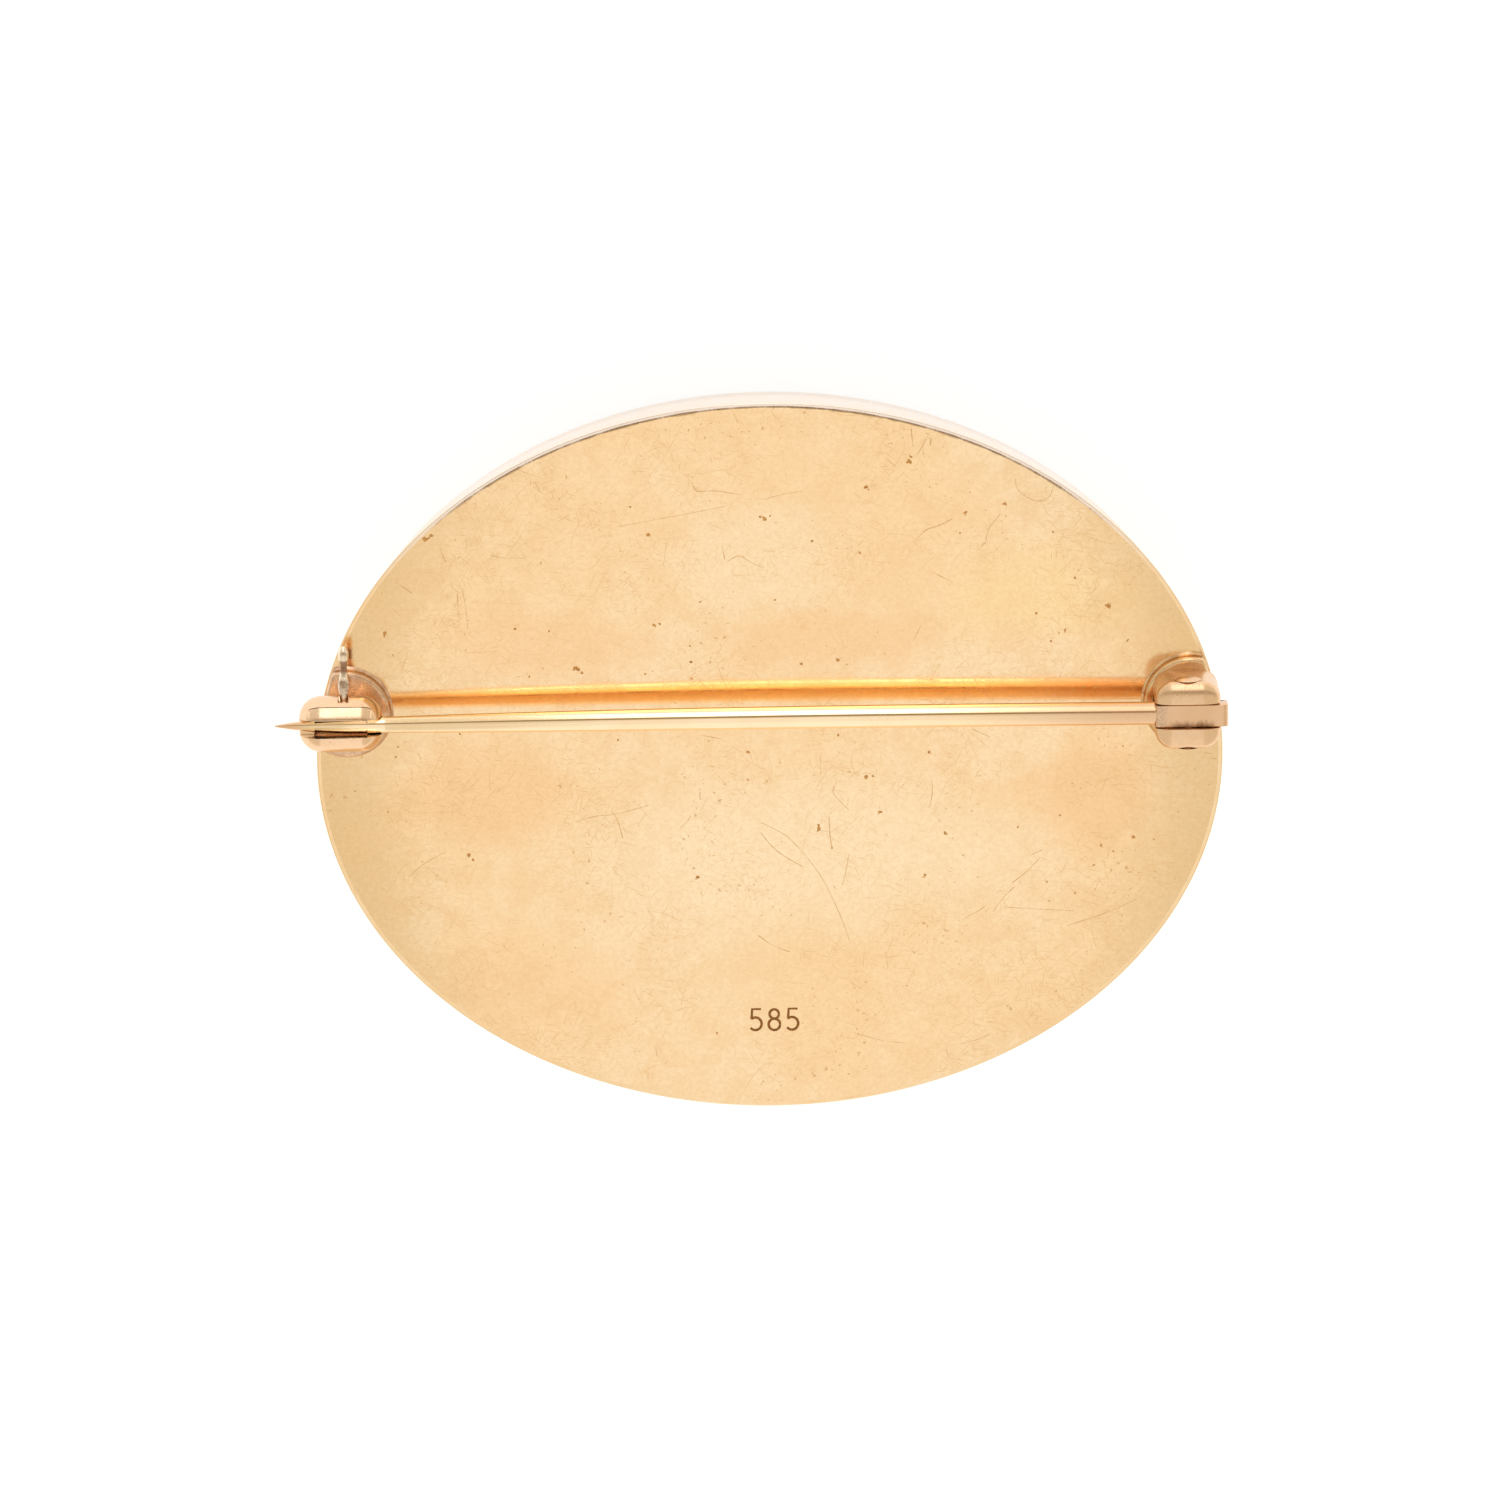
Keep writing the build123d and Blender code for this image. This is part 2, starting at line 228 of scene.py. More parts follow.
def scratchLine(vector, turn, length, spacing, width, share, bend):
    # one family of hair scratches: each long cell may hold one thin, bent line with a strength of its own
    tree = vector.tree
    spun = field(tree, "ShaderNodeVectorRotate", {"Vector": vector, "Angle": turn}, rotation_type="Z_AXIS")
    x, y, z = splitVector(spun)
    u = (x + z * 0.43) / length  # z is mixed in, so that walls get lines as well
    v = (y + z * 0.71) / spacing
    cells = addNode(tree, "ShaderNodeTexVoronoi", {"Vector": joinVector(u, v, 0.0), "Scale": 1.0},
                    voronoi_dimensions="2D").outputs
    chances = addNode(tree, "ShaderNodeSeparateColor", {0: Field(cells["Color"])}).outputs
    leanChance, curlChance, showChance = [Field(chance) for chance in chances]
    cellX, cellY, cellZ = splitVector(Field(cells["Position"]))
    along = (u - cellX) * length
    across = (v - cellY) * spacing
    curve = along * ((leanChance - 0.5) * (bend * 2.4)) + along * along * ((curlChance - 0.5) * (bend * 0.9))
    line = falling(abs(across - curve), width * 0.25, width)
    ends = falling(abs(along) / length, 0.05, 0.42)
    present = calc("LESS_THAN", showChance, share)
    return [line * ends * (present * (curlChance * 0.8 + 0.2))]


scratchGroup = shaderGroup(scratchLine, turn=0.0, length=4.0, spacing=1.2, width=0.03, share=0.5, bend=0.1)
scratchFamilies = [
    {"turn": 0.35, "length": 3.4, "spacing": 0.9, "share": 1.0, "bend": 0.34},
    {"turn": 1.25, "length": 2.4, "spacing": 0.75, "share": 0.9, "bend": 0.45},
    {"turn": 2.15, "length": 4.6, "spacing": 1.3, "share": 0.8, "bend": 0.22},
    {"turn": 2.8, "length": 1.9, "spacing": 0.6, "share": 0.9, "bend": 0.6},
]


def hairScratches(vector, size, width, share, warp):
    # several families at odd turns, the longer ones rarer
    drift = addVector(noise(vector, 0.35, 1.0, output="Color"), (-0.5, -0.5, -0.5))
    bent = addVector(vector, scaleVector(drift, warp))
    total = None
    for index, family in enumerate(scratchFamilies):
        moved = addVector(bent, (index * 7.3, index * 3.1, index * 5.7))
        mask = useGroup(scratchGroup, moved, turn=family["turn"], length=size * family["length"],
                        spacing=size * family["spacing"], width=width, share=share * family["share"],
                        bend=family["bend"])
        total = mask if total is None else larger(total, mask)
    return [total * between(noise(vector, 0.22, 2.0), 0.34, 0.66, 0.25, 1.0)]


def pitSpecks(vector, scale, level, gather):
    # ragged spots where a fine noise peaks, gathered by a slow one
    level = level + gather * (0.5 - noise(vector, 0.19, 1.0))
    return [between(noise(vector, scale, 2.0, 0.6, 0.3), level, level + 0.03)]


def cloudTarnish(vector, cloudScale, grainScale):
    # slow clouds and fine grain of a rubbed, slightly tarnished surface
    cloud = between(noise(vector, cloudScale, 3.0, 0.55, 0.6), 0.33, 0.67)
    blotch = between(noise(vector, cloudScale * 6.0, 4.0, 0.62, 0.4), 0.36, 0.66)
    grain = between(noise(vector, grainScale, 3.0, 0.7), 0.32, 0.68)
    return [cloud, blotch, grain]


def rimGrime(vector, halfLength, halfWidth, reach):
    # dirt that gathers within a short reach of the plate's edge, from inside or outside
    x, y, z = splitVector(vector)
    away = abs(1.0 - diagonal(x / halfLength, y / halfWidth)) * halfWidth
    patch = between(noise(vector, 0.9, 4.0, 0.65), 0.36, 0.68, 0.25, 1.6)
    return [falling(away, 0.0, reach * patch)]


hairGroup = shaderGroup(hairScratches, size=1.0, width=0.03, share=0.5, warp=0.25)
pitGroup = shaderGroup(pitSpecks, scale=2.2, level=0.72, gather=0.2)
cloudGroup = shaderGroup(cloudTarnish, ("cloud", "blotch", "grain"), cloudScale=0.14, grainScale=5.0)
grimeGroup = shaderGroup(rimGrime, **plateOval, reach=0.3)
print("shader groups made")


# materials

materials = {}
tones = {  # linear colours, read one by one
    "main": (0.972, 0.690, 0.388),
    "pale": (0.985, 0.735, 0.450),
    "warm": (0.930, 0.615, 0.315),
    "cream": (0.995, 0.775, 0.495),
    "peach": (0.950, 0.605, 0.310),
    "yellow": (0.985, 0.705, 0.345),
    # painted reflection: the pale tone laid on the bezel wall toward +Y
    "paleReflection": (0.930, 0.785, 0.665),
    "scratch": (0.780, 0.455, 0.190),
    "speck": (0.560, 0.270, 0.080),
    "grime": (0.240, 0.120, 0.045),
    # painted light: the pale tone of the pin's slot in the barrel and roller
    "slot": (0.990, 0.860, 0.700),
    "stem": (0.975, 0.765, 0.500),
    "stemDeep": (0.955, 0.710, 0.440),
    "drawn": (0.930, 0.660, 0.370),
    "tip": (0.850, 0.520, 0.310),
    "tang": (0.800, 0.510, 0.305),
    "tangDeep": (0.740, 0.455, 0.250),
    "tangStain": (0.190, 0.085, 0.045),
    "scuff": (0.560, 0.450, 0.390),
    "thumb": (0.985, 0.840, 0.680),
    "thumbDeep": (0.960, 0.780, 0.600),
    # painted shade for the lever's neck
    "neckShade": (0.330, 0.150, 0.070),
    "scored": (0.900, 0.610, 0.330),
    "scoredDeep": (0.720, 0.420, 0.180),
    "stamp": (0.420, 0.190, 0.060),
    "stampDeep": (0.250, 0.100, 0.030),
    "rust": (0.780, 0.430, 0.150),
    "rustDeep": (0.540, 0.250, 0.080),
    "pearl": (0.880, 0.830, 0.800),
    "pearlGreen": (0.780, 0.870, 0.840),
    "pearlPink": (0.930, 0.800, 0.860),
    "white": (1.0, 1.0, 1.0),
}


def tone(value):
    # a colour by its name, as three numbers or as a field
    if isinstance(value, str):
        value = tones[value]
    return value if isinstance(value, Field) else (*value, 1.0)


def layered(colour, *layers):
    # each layer is a share and the tone that is laid over the colour below
    for share, over in layers:
        inputs = {0: share, 6: tone(colour), 7: tone(over)}
        colour = field(share.tree, "ShaderNodeMix", inputs, 2, data_type="RGBA")
    return colour


def newMaterial(name, settings, centre=(0.0, 0.0, 0.0), turn=0.0):
    # gives the shader, and object coordinates in mm from the centre
    materials[name] = bpy.data.materials.new(name)
    materials[name].use_nodes = True
    tree = materials[name].node_tree
    shader = tree.nodes["Principled BSDF"]
    for key, value in settings.items():
        shader.inputs[key].default_value = value
    vector = field(tree, "ShaderNodeMapping", {
        "Vector": field(tree, "ShaderNodeTexCoord", {}, "Object"), "Scale": (1 / mm, 1 / mm, 1 / mm),
        "Location": tuple(-c for c in centre), "Rotation": (0.0, 0.0, turn)}, vector_type="POINT")
    return shader, vector


def newMetal(name, centre, clouds):
    shader, vector = newMaterial(name, {"Metallic": 1.0}, centre)
    return shader, vector, useGroup(cloudGroup, vector, **clouds)


def dress(shader, colour, rough, height, bump):
    # bump is in mm
    feed(shader.inputs["Base Color"], colour)
    feed(shader.inputs["Roughness"], rough)
    if bump:
        inputs = {"Height": height, "Distance": bump * mm, "Strength": 1.0}
        feed(shader.inputs["Normal"], field(height.tree, "ShaderNodeBump", inputs))


plateLook = {
    "clouds": {"cloudScale": 0.10, "grainScale": 4.6},
    "scratches": {"size": 1.0, "width": 0.018, "share": 0.38, "warp": 0.9},
    "hairs": {"size": 0.36, "width": 0.023, "share": 0.75, "warp": 0.5},
    "specks": {"scale": 1.7, "level": 0.745, "gather": 0.25},
    "dots": {"scale": 4.4, "level": 0.715, "gather": 0.35},
    "grime": {**plateOval, "reach": 0.08},
    "grimeStart": (11.0, 14.5),  # how far toward +Y the dirty edge starts
    "roughness": 0.09,
    "waviness": 0.0004,
}
plateClouds = [  # middle and half sizes in mm from the plate's centre, tone, strength
    ((1.6, -4.9), (11.0, 4.2), "cream", 0.85), ((-0.6, 10.2), (4.2, 2.6), "cream", 0.6),
    ((13.2, 8.4), (4.8, 2.6), "yellow", 0.6), ((-11.0, 6.2), (5.0, 2.4), "peach", 0.55),
    ((2.5, 6.4), (5.0, 1.8), "peach", 0.6), ((-13.7, -1.6), (4.8, 2.4), "peach", 0.7),
    ((16.0, -1.9), (4.0, 3.0), "peach", 0.8), ((-12.5, -11.6), (4.5, 2.6), "peach", 0.35)]


def makePlateGold():
    look = plateLook
    shader, vector, tarnish = newMetal("plateGold", plateCentre, look["clouds"])
    x, y, z = splitVector(vector)
    grime = useGroup(grimeGroup, vector, **look["grime"]) * between(y, *look["grimeStart"])
    colour = layered("pale", (tarnish["cloud"], "main"), (tarnish["blotch"] * 0.40, "warm"))
    driftX, driftY, driftZ = splitVector(noise(vector, 0.22, 3.0, output="Color"))
    x, y = x + (driftX - 0.5) * 7.0, y + (driftY - 0.5) * 4.0  # so that the clouds wander from their ovals
    for (middleX, middleY), (halfX, halfY), name, strength in plateClouds:
        away = diagonal((x - middleX) / halfX, (y - middleY) / halfY)
        colour = layered(colour, (between(away, 0.45, 1.25, strength, 0.0), name))
    scratches = useGroup(hairGroup, vector, **look["scratches"])
    hairs = useGroup(hairGroup, vector, **look["hairs"])
    lines = larger(scratches * 0.80, hairs * 0.62)
    specks = useGroup(pitGroup, vector, **look["specks"])
    spots = larger(specks, useGroup(pitGroup, vector, **look["dots"])) * 0.45
    colour = layered(colour, (tarnish["grain"] * 0.24, "scratch"), (lines, "scratch"), (spots, "speck"),
                     (grime * 0.5, "grime"))
    rough = look["roughness"] + tarnish["blotch"] * 0.05 + larger(lines, spots) * 0.3 + grime * 0.3
    dress(shader, colour, rough, noise(vector, 0.45, 2.0), look["waviness"])


bezelLook = {
    "clouds": {"cloudScale": 0.12, "grainScale": 6.0},
    "scratches": {"size": 0.7, "width": 0.022, "share": 0.35, "warp": 0.6},
    "grime": {**seamOval, "reach": 0.05},
    "grimeStart": (11.0, 14.5),
    "paleReflectionStart": (8.5, 14.0),  # toward +Y the wall is painted pale, a painted reflection of the bright floor
    "roughness": 0.20,
    "bump": 0.0006,
}


def makeBezelGold():
    look = bezelLook
    shader, vector, tarnish = newMetal("bezelGold", plateCentre, look["clouds"])
    scratches = useGroup(hairGroup, vector, **look["scratches"])
    x, y, z = splitVector(vector)
    atTop = between(z, backZ - 0.3, backZ - 0.1) * between(y, *look["grimeStart"])
    grime = useGroup(grimeGroup, vector, **look["grime"]) * atTop
    # the pale tone toward +Y is a painted reflection
    colour = layered("pale", (tarnish["cloud"], "main"), (tarnish["blotch"] * 0.25, "warm"),
                     (between(y, *look["paleReflectionStart"]), "paleReflection"), (scratches * 0.4, "scratch"),
                     (grime * 0.55, "grime"))
    rough = look["roughness"] + tarnish["blotch"] * 0.05 + scratches * 0.15 + grime * 0.4
    dress(shader, colour, rough, scratches, -look["bump"])


findingLooks = {  # stained is where in height the brown fades, slot half the width of the pin's slot, which is painted pale as painted light over its shade, in mm
    "findingGold": {"main": (0.850, 0.575, 0.355), "roughness": 0.25, "stained": (10.9, 11.6), "share": 0.4,
                    "brown": (0.62, 0.34, 0.13)},
    "barrelGold": {"main": (0.900, 0.635, 0.425), "roughness": 0.18, "stained": (10.9, 11.6), "share": 0.5,
                   "brown": (0.42, 0.24, 0.12), "slot": 0.46},
    "baseGold": {"main": (0.900, 0.620, 0.360), "roughness": 0.17, "stained": (10.2, 11.3), "share": 0.6,
                 "brown": (0.42, 0.22, 0.10)},
    "catchBaseGold": {"main": (0.880, 0.620, 0.430), "roughness": 0.20, "stained": (10.3, 12.2), "share": 0.6,
                      "brown": (0.44, 0.25, 0.15)},
    "rollerGold": {"main": (0.900, 0.640, 0.440), "roughness": 0.18, "stained": (11.1, 11.8), "share": 0.5,
                   "brown": (0.42, 0.24, 0.12), "slot": 0.47},
}


def makeFindingGold(name, look):
    # bright on top, with brown left in the low places
    shader, vector, tarnish = newMetal(name, (plateX, pinY, 0.0), {"cloudScale": 0.32, "grainScale": 9.0})
    scratches = useGroup(hairGroup, vector, size=0.32, width=0.014, share=0.5, warp=0.3)
    specks = useGroup(pitGroup, vector, scale=4.0, level=0.70, gather=0.1)
    x, y, z = splitVector(vector)
    stain = falling(z, *look["stained"]) * between(tarnish["blotch"], 0.0, 1.0, 0.35, 1.0) * look["share"]
    warm = [part * drop for part, drop in zip(look["main"], (0.97, 0.90, 0.80))]
    colour = layered(look["main"], (tarnish["cloud"] * 0.8, warm))
    # painted light: the pin's slot is painted pale where it lies in shade
    if "slot" in look:
        colour = layered(colour, (falling(abs(y), look["slot"] - 0.02, look["slot"]), "slot"))
    colour = layered(colour, (stain, look["brown"]), (scratches * 0.45, "scratch"), (specks * 0.5, "speck"))
    rough = look["roughness"] + tarnish["blotch"] * 0.05 + larger(scratches, specks) * 0.2 + stain * 0.2
    dress(shader, colour, rough, scratches + specks, -0.0012)


def makePinGold():
    shader, vector, tarnish = newMetal("pinGold", (0.0, pinY, pinZ), {"cloudScale": 0.16, "grainScale": 5.0})
    drawn = field(vector.tree, "ShaderNodeMapping", {"Vector": vector, "Scale": (0.35, 9.0, 9.0)})
    lines = noise(drawn, 1.0, 3.0, 0.6)
    scratches = useGroup(hairGroup, vector, size=0.4, width=0.016, share=0.4, warp=0.2)
    x, y, z = splitVector(vector)
    # painted shade: the stem is painted darker toward the tang, where its highlight fades
    tangwardShade = between(x, 9.0, 19.5)
    colour = layered("stem", (tarnish["cloud"], "stemDeep"), (lines * 0.25, "drawn"),
                     (tangwardShade * 0.9, "tang"), (falling(x, -23.0, -21.6) * 0.8, "tip"),
                     (scratches * 0.35, "scratch"))
    dress(shader, colour, 0.10 + tangwardShade * 0.10 + scratches * 0.15, lines, 0.0008)


def makeTangGold():
    # duller and browner than the stem, with a stain along its lower edge and a grey scuff at its root
    shader, vector, tarnish = newMetal(
        "tangGold", (places["hingeX"], pinY, pinZ), {"cloudScale": 0.30, "grainScale": 8.0})
    streaked = field(vector.tree, "ShaderNodeMapping", {"Vector": vector, "Scale": (8.0, 1.2, 1.0)})
    streaks = noise(streaked, 1.0, 3.0)
    x, y, z = splitVector(vector)
    span = between(x, -1.1, -0.5) * falling(x, 1.0, 1.5)
    stain = span * falling(y + streaks * 0.5, -0.42, 0.05)
    scuff = falling(x, -1.25, -0.85) * between(tarnish["grain"], 0.0, 1.0)
    colour = layered("tang", (tarnish["cloud"], "tangDeep"), (stain * 0.85, "tangStain"),
                     (scuff * 0.5, "scuff"))
    dress(shader, colour, 0.24 + larger(stain, scuff) * 0.2, streaks, 0.0012)


def makeLeverGold():
    # pale gold, with painted shade across the neck behind its thumb tip, and dark brown about its root
    shader, vector, tarnish = newMetal(
        "leverGold", (places["catchX"], pinY, places["catchZ"]), {"cloudScale": 0.6, "grainScale": 11.0})
    x, y, z = splitVector(vector)
    # painted shade: a dark band across the neck behind the thumb tip
    neckShade = between(y, 2.35, 2.50) * falling(y, 2.92, 3.05)
    root = falling(y, 2.0, 2.2) * between(tarnish["blotch"], 0.0, 1.0, 0.3, 1.0)
    # the neck's painted shade together with the brown about the root
    brown = larger(neckShade * 0.85, root * 0.65)
    colour = layered("thumb", (tarnish["cloud"], "thumbDeep"), (brown, "neckShade"))
    dress(shader, colour, 0.16 + brown * 0.2, tarnish["grain"], 0.001)


def makeStain(name, clouds, pale, dark, roughness, bump):
    # what stays in struck figures, pits, the seam and the charted scratches
    shader, vector, tarnish = newMetal(name, (0.0, 0.0, 0.0), clouds)
    colour = layered(pale, (tarnish["blotch"], dark))
    dress(shader, colour, between(tarnish["grain"], 0.0, 1.0, *roughness), tarnish["grain"], bump)


def makeCrystalGlass():
    shader, vector = newMaterial("rockCrystal", {"Metallic": 0.0, "IOR": 1.544, "Transmission Weight": 1.0})
    scratches = useGroup(hairGroup, vector, size=1.2, width=0.012, share=0.18, warp=0.6)
    dress(shader, tone("white"), scratches * 0.12, scratches, 0.0003)


def makePearl():
    shader, vector = newMaterial(
        "motherOfPearl", {"Metallic": 0.0, "Coat Weight": 0.6, "Coat Roughness": 0.08}, turn=0.5)
    ripple = field(vector.tree, "ShaderNodeTexWave", {
        "Vector": vector, "Scale": 0.16, "Distortion": 7.0, "Detail": 3.0, "Detail Scale": 0.5},
        "Fac", wave_type="BANDS", bands_direction="X")
    cloud = between(noise(vector, 0.12, 3.0, distortion=1.2), 0.35, 0.65)
    colour = layered("pearl", (cloud, "pearlGreen"), (ripple * 0.5, "pearlPink"))
    dress(shader, colour, between(ripple, 0.0, 1.0, 0.22, 0.34), ripple, 0.01)


paintLooks = {
    "petalPaint": {"inner": (0.055, 0.018, 0.16), "outer": (0.36, 0.24, 0.68), "centre": flowerCentre,
                   "reach": 4.6, "streaks": 2.2},
    "eyePaint": {"inner": (0.90, 0.62, 0.08), "outer": (0.80, 0.36, 0.03), "centre": flowerCentre,
                 "reach": 1.3, "streaks": 3.0},
    "leafPaint": {"inner": (0.10, 0.26, 0.05), "outer": (0.04, 0.15, 0.04), "centre": (0.5, -4.0, 7.0),
                  "reach": 6.0, "streaks": 1.6},
}


def makePaint(name, look):
    # oil paint laid in the carving: deeper near the flower's eye, with brush streaks
    shader, vector = newMaterial(name, {"Metallic": 0.0, "Coat Weight": 0.3}, look["centre"])
    x, y, z = splitVector(vector)
    brush = noise(vector, look["streaks"], 4.0, 0.65)
    share = calc("ADD", between(diagonal(x, y), 0.0, look["reach"]), brush * 0.7 - 0.35, clamp=True)
    colour = layered(look["inner"], (share, look["outer"]))
    dress(shader, colour, between(brush, 0.3, 0.7, 0.28, 0.45), brush, 0.02)


makePlateGold()
makeBezelGold()
for name, look in findingLooks.items():
    makeFindingGold(name, look)
makePinGold()
makeTangGold()
makeLeverGold()
makeStain("scoredGold", {"cloudScale": 0.25, "grainScale": 6.0}, "scored", "scoredDeep", (0.2, 0.4), 0.0)
makeStain("stampBrown", {"cloudScale": 1.5, "grainScale": 12.0}, "stamp", "stampDeep", (0.4, 0.6), 0.003)
makeStain("rustBrown", {"cloudScale": 1.5, "grainScale": 12.0}, "rust", "rustDeep", (0.4, 0.6), 0.003)
makeCrystalGlass()
makePearl()
for name, look in paintLooks.items():
    makePaint(name, look)
print("materials made")


# small helpers for outlines and meshes, all in millimetres

def angles(count, end=fullTurn, start=0.0, last=False):
    return [start + (end - start) * i / count for i in range(count + last)]


def oval(halfLength, halfWidth, count, x=0.0, y=0.0):
    return [(x + halfLength * math.cos(a), y + halfWidth * math.sin(a)) for a in angles(count)]


def mirrored(profile):
    return profile + [(-along, radius) for along, radius in reversed(profile)]


def turnedPoint(x, y, degrees):
    a = math.radians(degrees)
    return x * math.cos(a) - y * math.sin(a), x * math.sin(a) + y * math.cos(a)


def roundedOutline(points, radii, steps=5):
    # a closed flat outline with its corners rounded
    result = []
    for i, point in enumerate(points):
        corner = Vector(point)
        before = Vector(points[i - 1]) - corner
        after = Vector(points[(i + 1) % len(points)]) - corner
        if radii[i] <= 0:
            result.append(tuple(point))
            continue
        half = before.angle(after) / 2
        reach = min(radii[i] / math.tan(half), before.length * 0.49, after.length * 0.49)
        bisector = (before.normalized() + after.normalized()).normalized()
        centre = corner + bisector * (reach * math.tan(half) / math.sin(half))
        start = corner + before.normalized() * reach - centre
        end = corner + after.normalized() * reach - centre
        sweep = math.atan2(start.x * end.y - start.y * end.x, start.dot(end))
        for a in angles(steps, sweep, last=True):
            x, y = turnedPoint(start.x, start.y, math.degrees(a))
            result.append((centre.x + x, centre.y + y))
    return result


def roundedBox(halfLength, halfWidth, radius, steps=7):
    corners = [(halfLength * x, halfWidth * y) for x, y in ((1, 1), (-1, 1), (-1, -1), (1, -1))]
    return roundedOutline(corners, [max(radius, 0.001)] * 4, steps)


def meshObject(name, bm=None):
    mesh = bpy.data.meshes.new(name)
    if bm:
        bm.normal_update()
        bm.to_mesh(mesh)
        bm.free()
    obj = bpy.data.objects.new(name, mesh)
    bpy.context.scene.collection.objects.link(obj)
    return obj


def loftLoops(loops, capStart=True, capEnd=True, bm=None):
    # joins loops of the same number of points into one skin, with a cap at each end
    bm = bm or bmesh.new()
    rows = [[bm.verts.new(p) for p in loop] for loop in loops]
    count = len(rows[0])
    for low, high in zip(rows, rows[1:]):
        for i in range(count):
            j = (i + 1) % count
            bm.faces.new((low[i], low[j], high[j], high[i]))
    if capStart:
        bm.faces.new(list(reversed(rows[0])))
    if capEnd:
        bm.faces.new(rows[-1])
    return bm


def outward(obj):
    # double points are joined, and every face looks outward
    bm = bmesh.new()
    bm.from_mesh(obj.data)
    bmesh.ops.remove_doubles(bm, verts=bm.verts, dist=0.0005)
    bmesh.ops.recalc_face_normals(bm, faces=bm.faces)
    bm.to_mesh(obj.data)
    bm.free()
    return obj


def loft(name, loops, capStart=True, capEnd=True):
    return outward(meshObject(name, loftLoops(loops, capStart, capEnd)))


def prism(outline, place, low, high, name="cutter"):
    # place turns (a, b, depth) into x, y, z
    return loft(name, [[place(a, b, depth) for a, b in outline] for depth in (low, high)])


def turned(profile, place, segments, name="cutter"):
    # profile of (along, radius) about a line; place turns (along, u, v) into x, y, z
    rings = [(along, oval(radius, radius, segments)) for along, radius in profile]
    return loft(name, [[place(along, u, v) for u, v in ring] for along, ring in rings])


def bake(obj):
    # the evaluated result becomes the object's own plain mesh
    bpy.context.view_layer.update()
    evaluated = obj.evaluated_get(bpy.context.evaluated_depsgraph_get())
    mesh = bpy.data.meshes.new_from_object(evaluated)
    obj.modifiers.clear()
    old = obj.data
    obj.data = mesh
    mesh.name = obj.name
    if old.users == 0:
        bpy.data.meshes.remove(old)
    return obj


def modify(obj, kind, **settings):
    modifier = obj.modifiers.new("maker", kind)
    for key, value in settings.items():
        setattr(modifier, key, value)
    return bake(obj)


def cut(obj, cutter, operation="DIFFERENCE"):
    modify(obj, "BOOLEAN", operation=operation, solver="EXACT", object=cutter)
    bpy.data.objects.remove(cutter)


def soften(obj, width, segments, angle=38.0):
    modify(obj, "BEVEL", width=width, segments=segments, limit_method="ANGLE",
           angle_limit=math.radians(angle), use_clamp_overlap=True)


def growPiece(name, build, values):
    # a piece from a node tree whose inputs are the named values, the last of them its material
    tree, given, out = newGroup(build.__name__, "GeometryNodeTree", values, ["geometry"], "Geometry")
    real = field(tree, "GeometryNodeRealizeInstances", {"Geometry": build(tree, *given[:-1])})
    feed(out["geometry"], field(tree, "GeometryNodeSetMaterial", {"Geometry": real, "Material": given[-1]}))
    obj = meshObject(name)
    modifier = obj.modifiers.new("maker", "NODES")
    modifier.node_group = tree
    for item in tree.interface.items_tree:
        if item.in_out == "INPUT":
            modifier[item.identifier] = values[item.name]
    return bake(obj)


def randomVector(tree, low, high, seed):
    return field(tree, "FunctionNodeRandomValue", {0: low, 1: high, "Seed": seed}, data_type="FLOAT_VECTOR")


def finishPiece(obj, material, part, angle, weighted=True):
    body, slot, solid = part
    obj.data.materials.clear()
    obj.data.materials.append(materials[material])
    obj.data.shade_smooth()
    obj.data.set_sharp_from_angle(angle=math.radians(angle))
    if weighted:
        modify(obj, "WEIGHTED_NORMAL", keep_sharp=True)
    obj.data.transform(Matrix.Scale(mm, 4))
    obj.data.update()
    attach(obj, body)
    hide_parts(solid)


# back plate: a crown and a steeper flank, both from one rule

plateValues = {
    **plateOval,
    "rise": 0.35,
    "shoulder": 0.67 * plateOval["halfLength"],  # how far out the crown ends
    "slope": math.tan(math.radians(0.8)),  # at the shoulder
    "centreX": plateX,
    "edgeHeight": backZ,
    "rings": 46,
    "spokes": 200,
    "material": materials["plateGold"],
}
plateEdge = [(0.02, -0.004), (0.54, 0.0), (0.0, 0.5)]  # drop and inset of the tiny round, edge and underside


def domedPlate(tree, halfLength, halfWidth, rise, shoulder, slope, centreX, edgeHeight, rings, spokes):
    grid = field(tree, "GeometryNodeMeshGrid", {
        "Size X": 1.0, "Size Y": 1.0, "Vertices X": rings + 1.0, "Vertices Y": spokes + 1.0})
    x, y, z = splitVector(field(tree, "GeometryNodeInputPosition", {}))
    radius = (x + 0.5) ** 0.85 * halfLength  # the rings lie closer toward the edge
    angle = (y + 0.5) * fullTurn
    inner = calc("MINIMUM", radius, shoulder)
    beyond = larger(radius - shoulder, 0.0)
    flank = halfLength - shoulder
    left = rise - (shoulder * 0.5 * slope + flank * slope)
    flankShare = beyond / flank
    crownDrop = inner * inner * slope / (shoulder * 2.0)
    height = rise - (crownDrop + (beyond * slope + left * (flankShare * flankShare)))
    place = joinVector(centreX + radius * calc("COSINE", angle),
                       halfWidth / halfLength * (radius * calc("SINE", angle)), edgeHeight + height)
    moved = field(tree, "GeometryNodeSetPosition", {"Geometry": grid, "Position": place})
    return field(tree, "GeometryNodeMergeByDistance", {"Geometry": moved, "Distance": 0.0008})


def plateHeight(x, y):
    v = plateValues
    radius = math.hypot(x - plateX, y * v["halfLength"] / v["halfWidth"])
    beyond = max(radius - v["shoulder"], 0.0)
    flank = v["halfLength"] - v["shoulder"]
    left = v["rise"] - v["slope"] * (v["shoulder"] / 2 + flank)
    crownDrop = min(radius, v["shoulder"]) ** 2 * v["slope"] / v["shoulder"] / 2
    drop = crownDrop + beyond * v["slope"] + left * (beyond / flank) ** 2
    return backZ + max(v["rise"] - drop, 0.0)


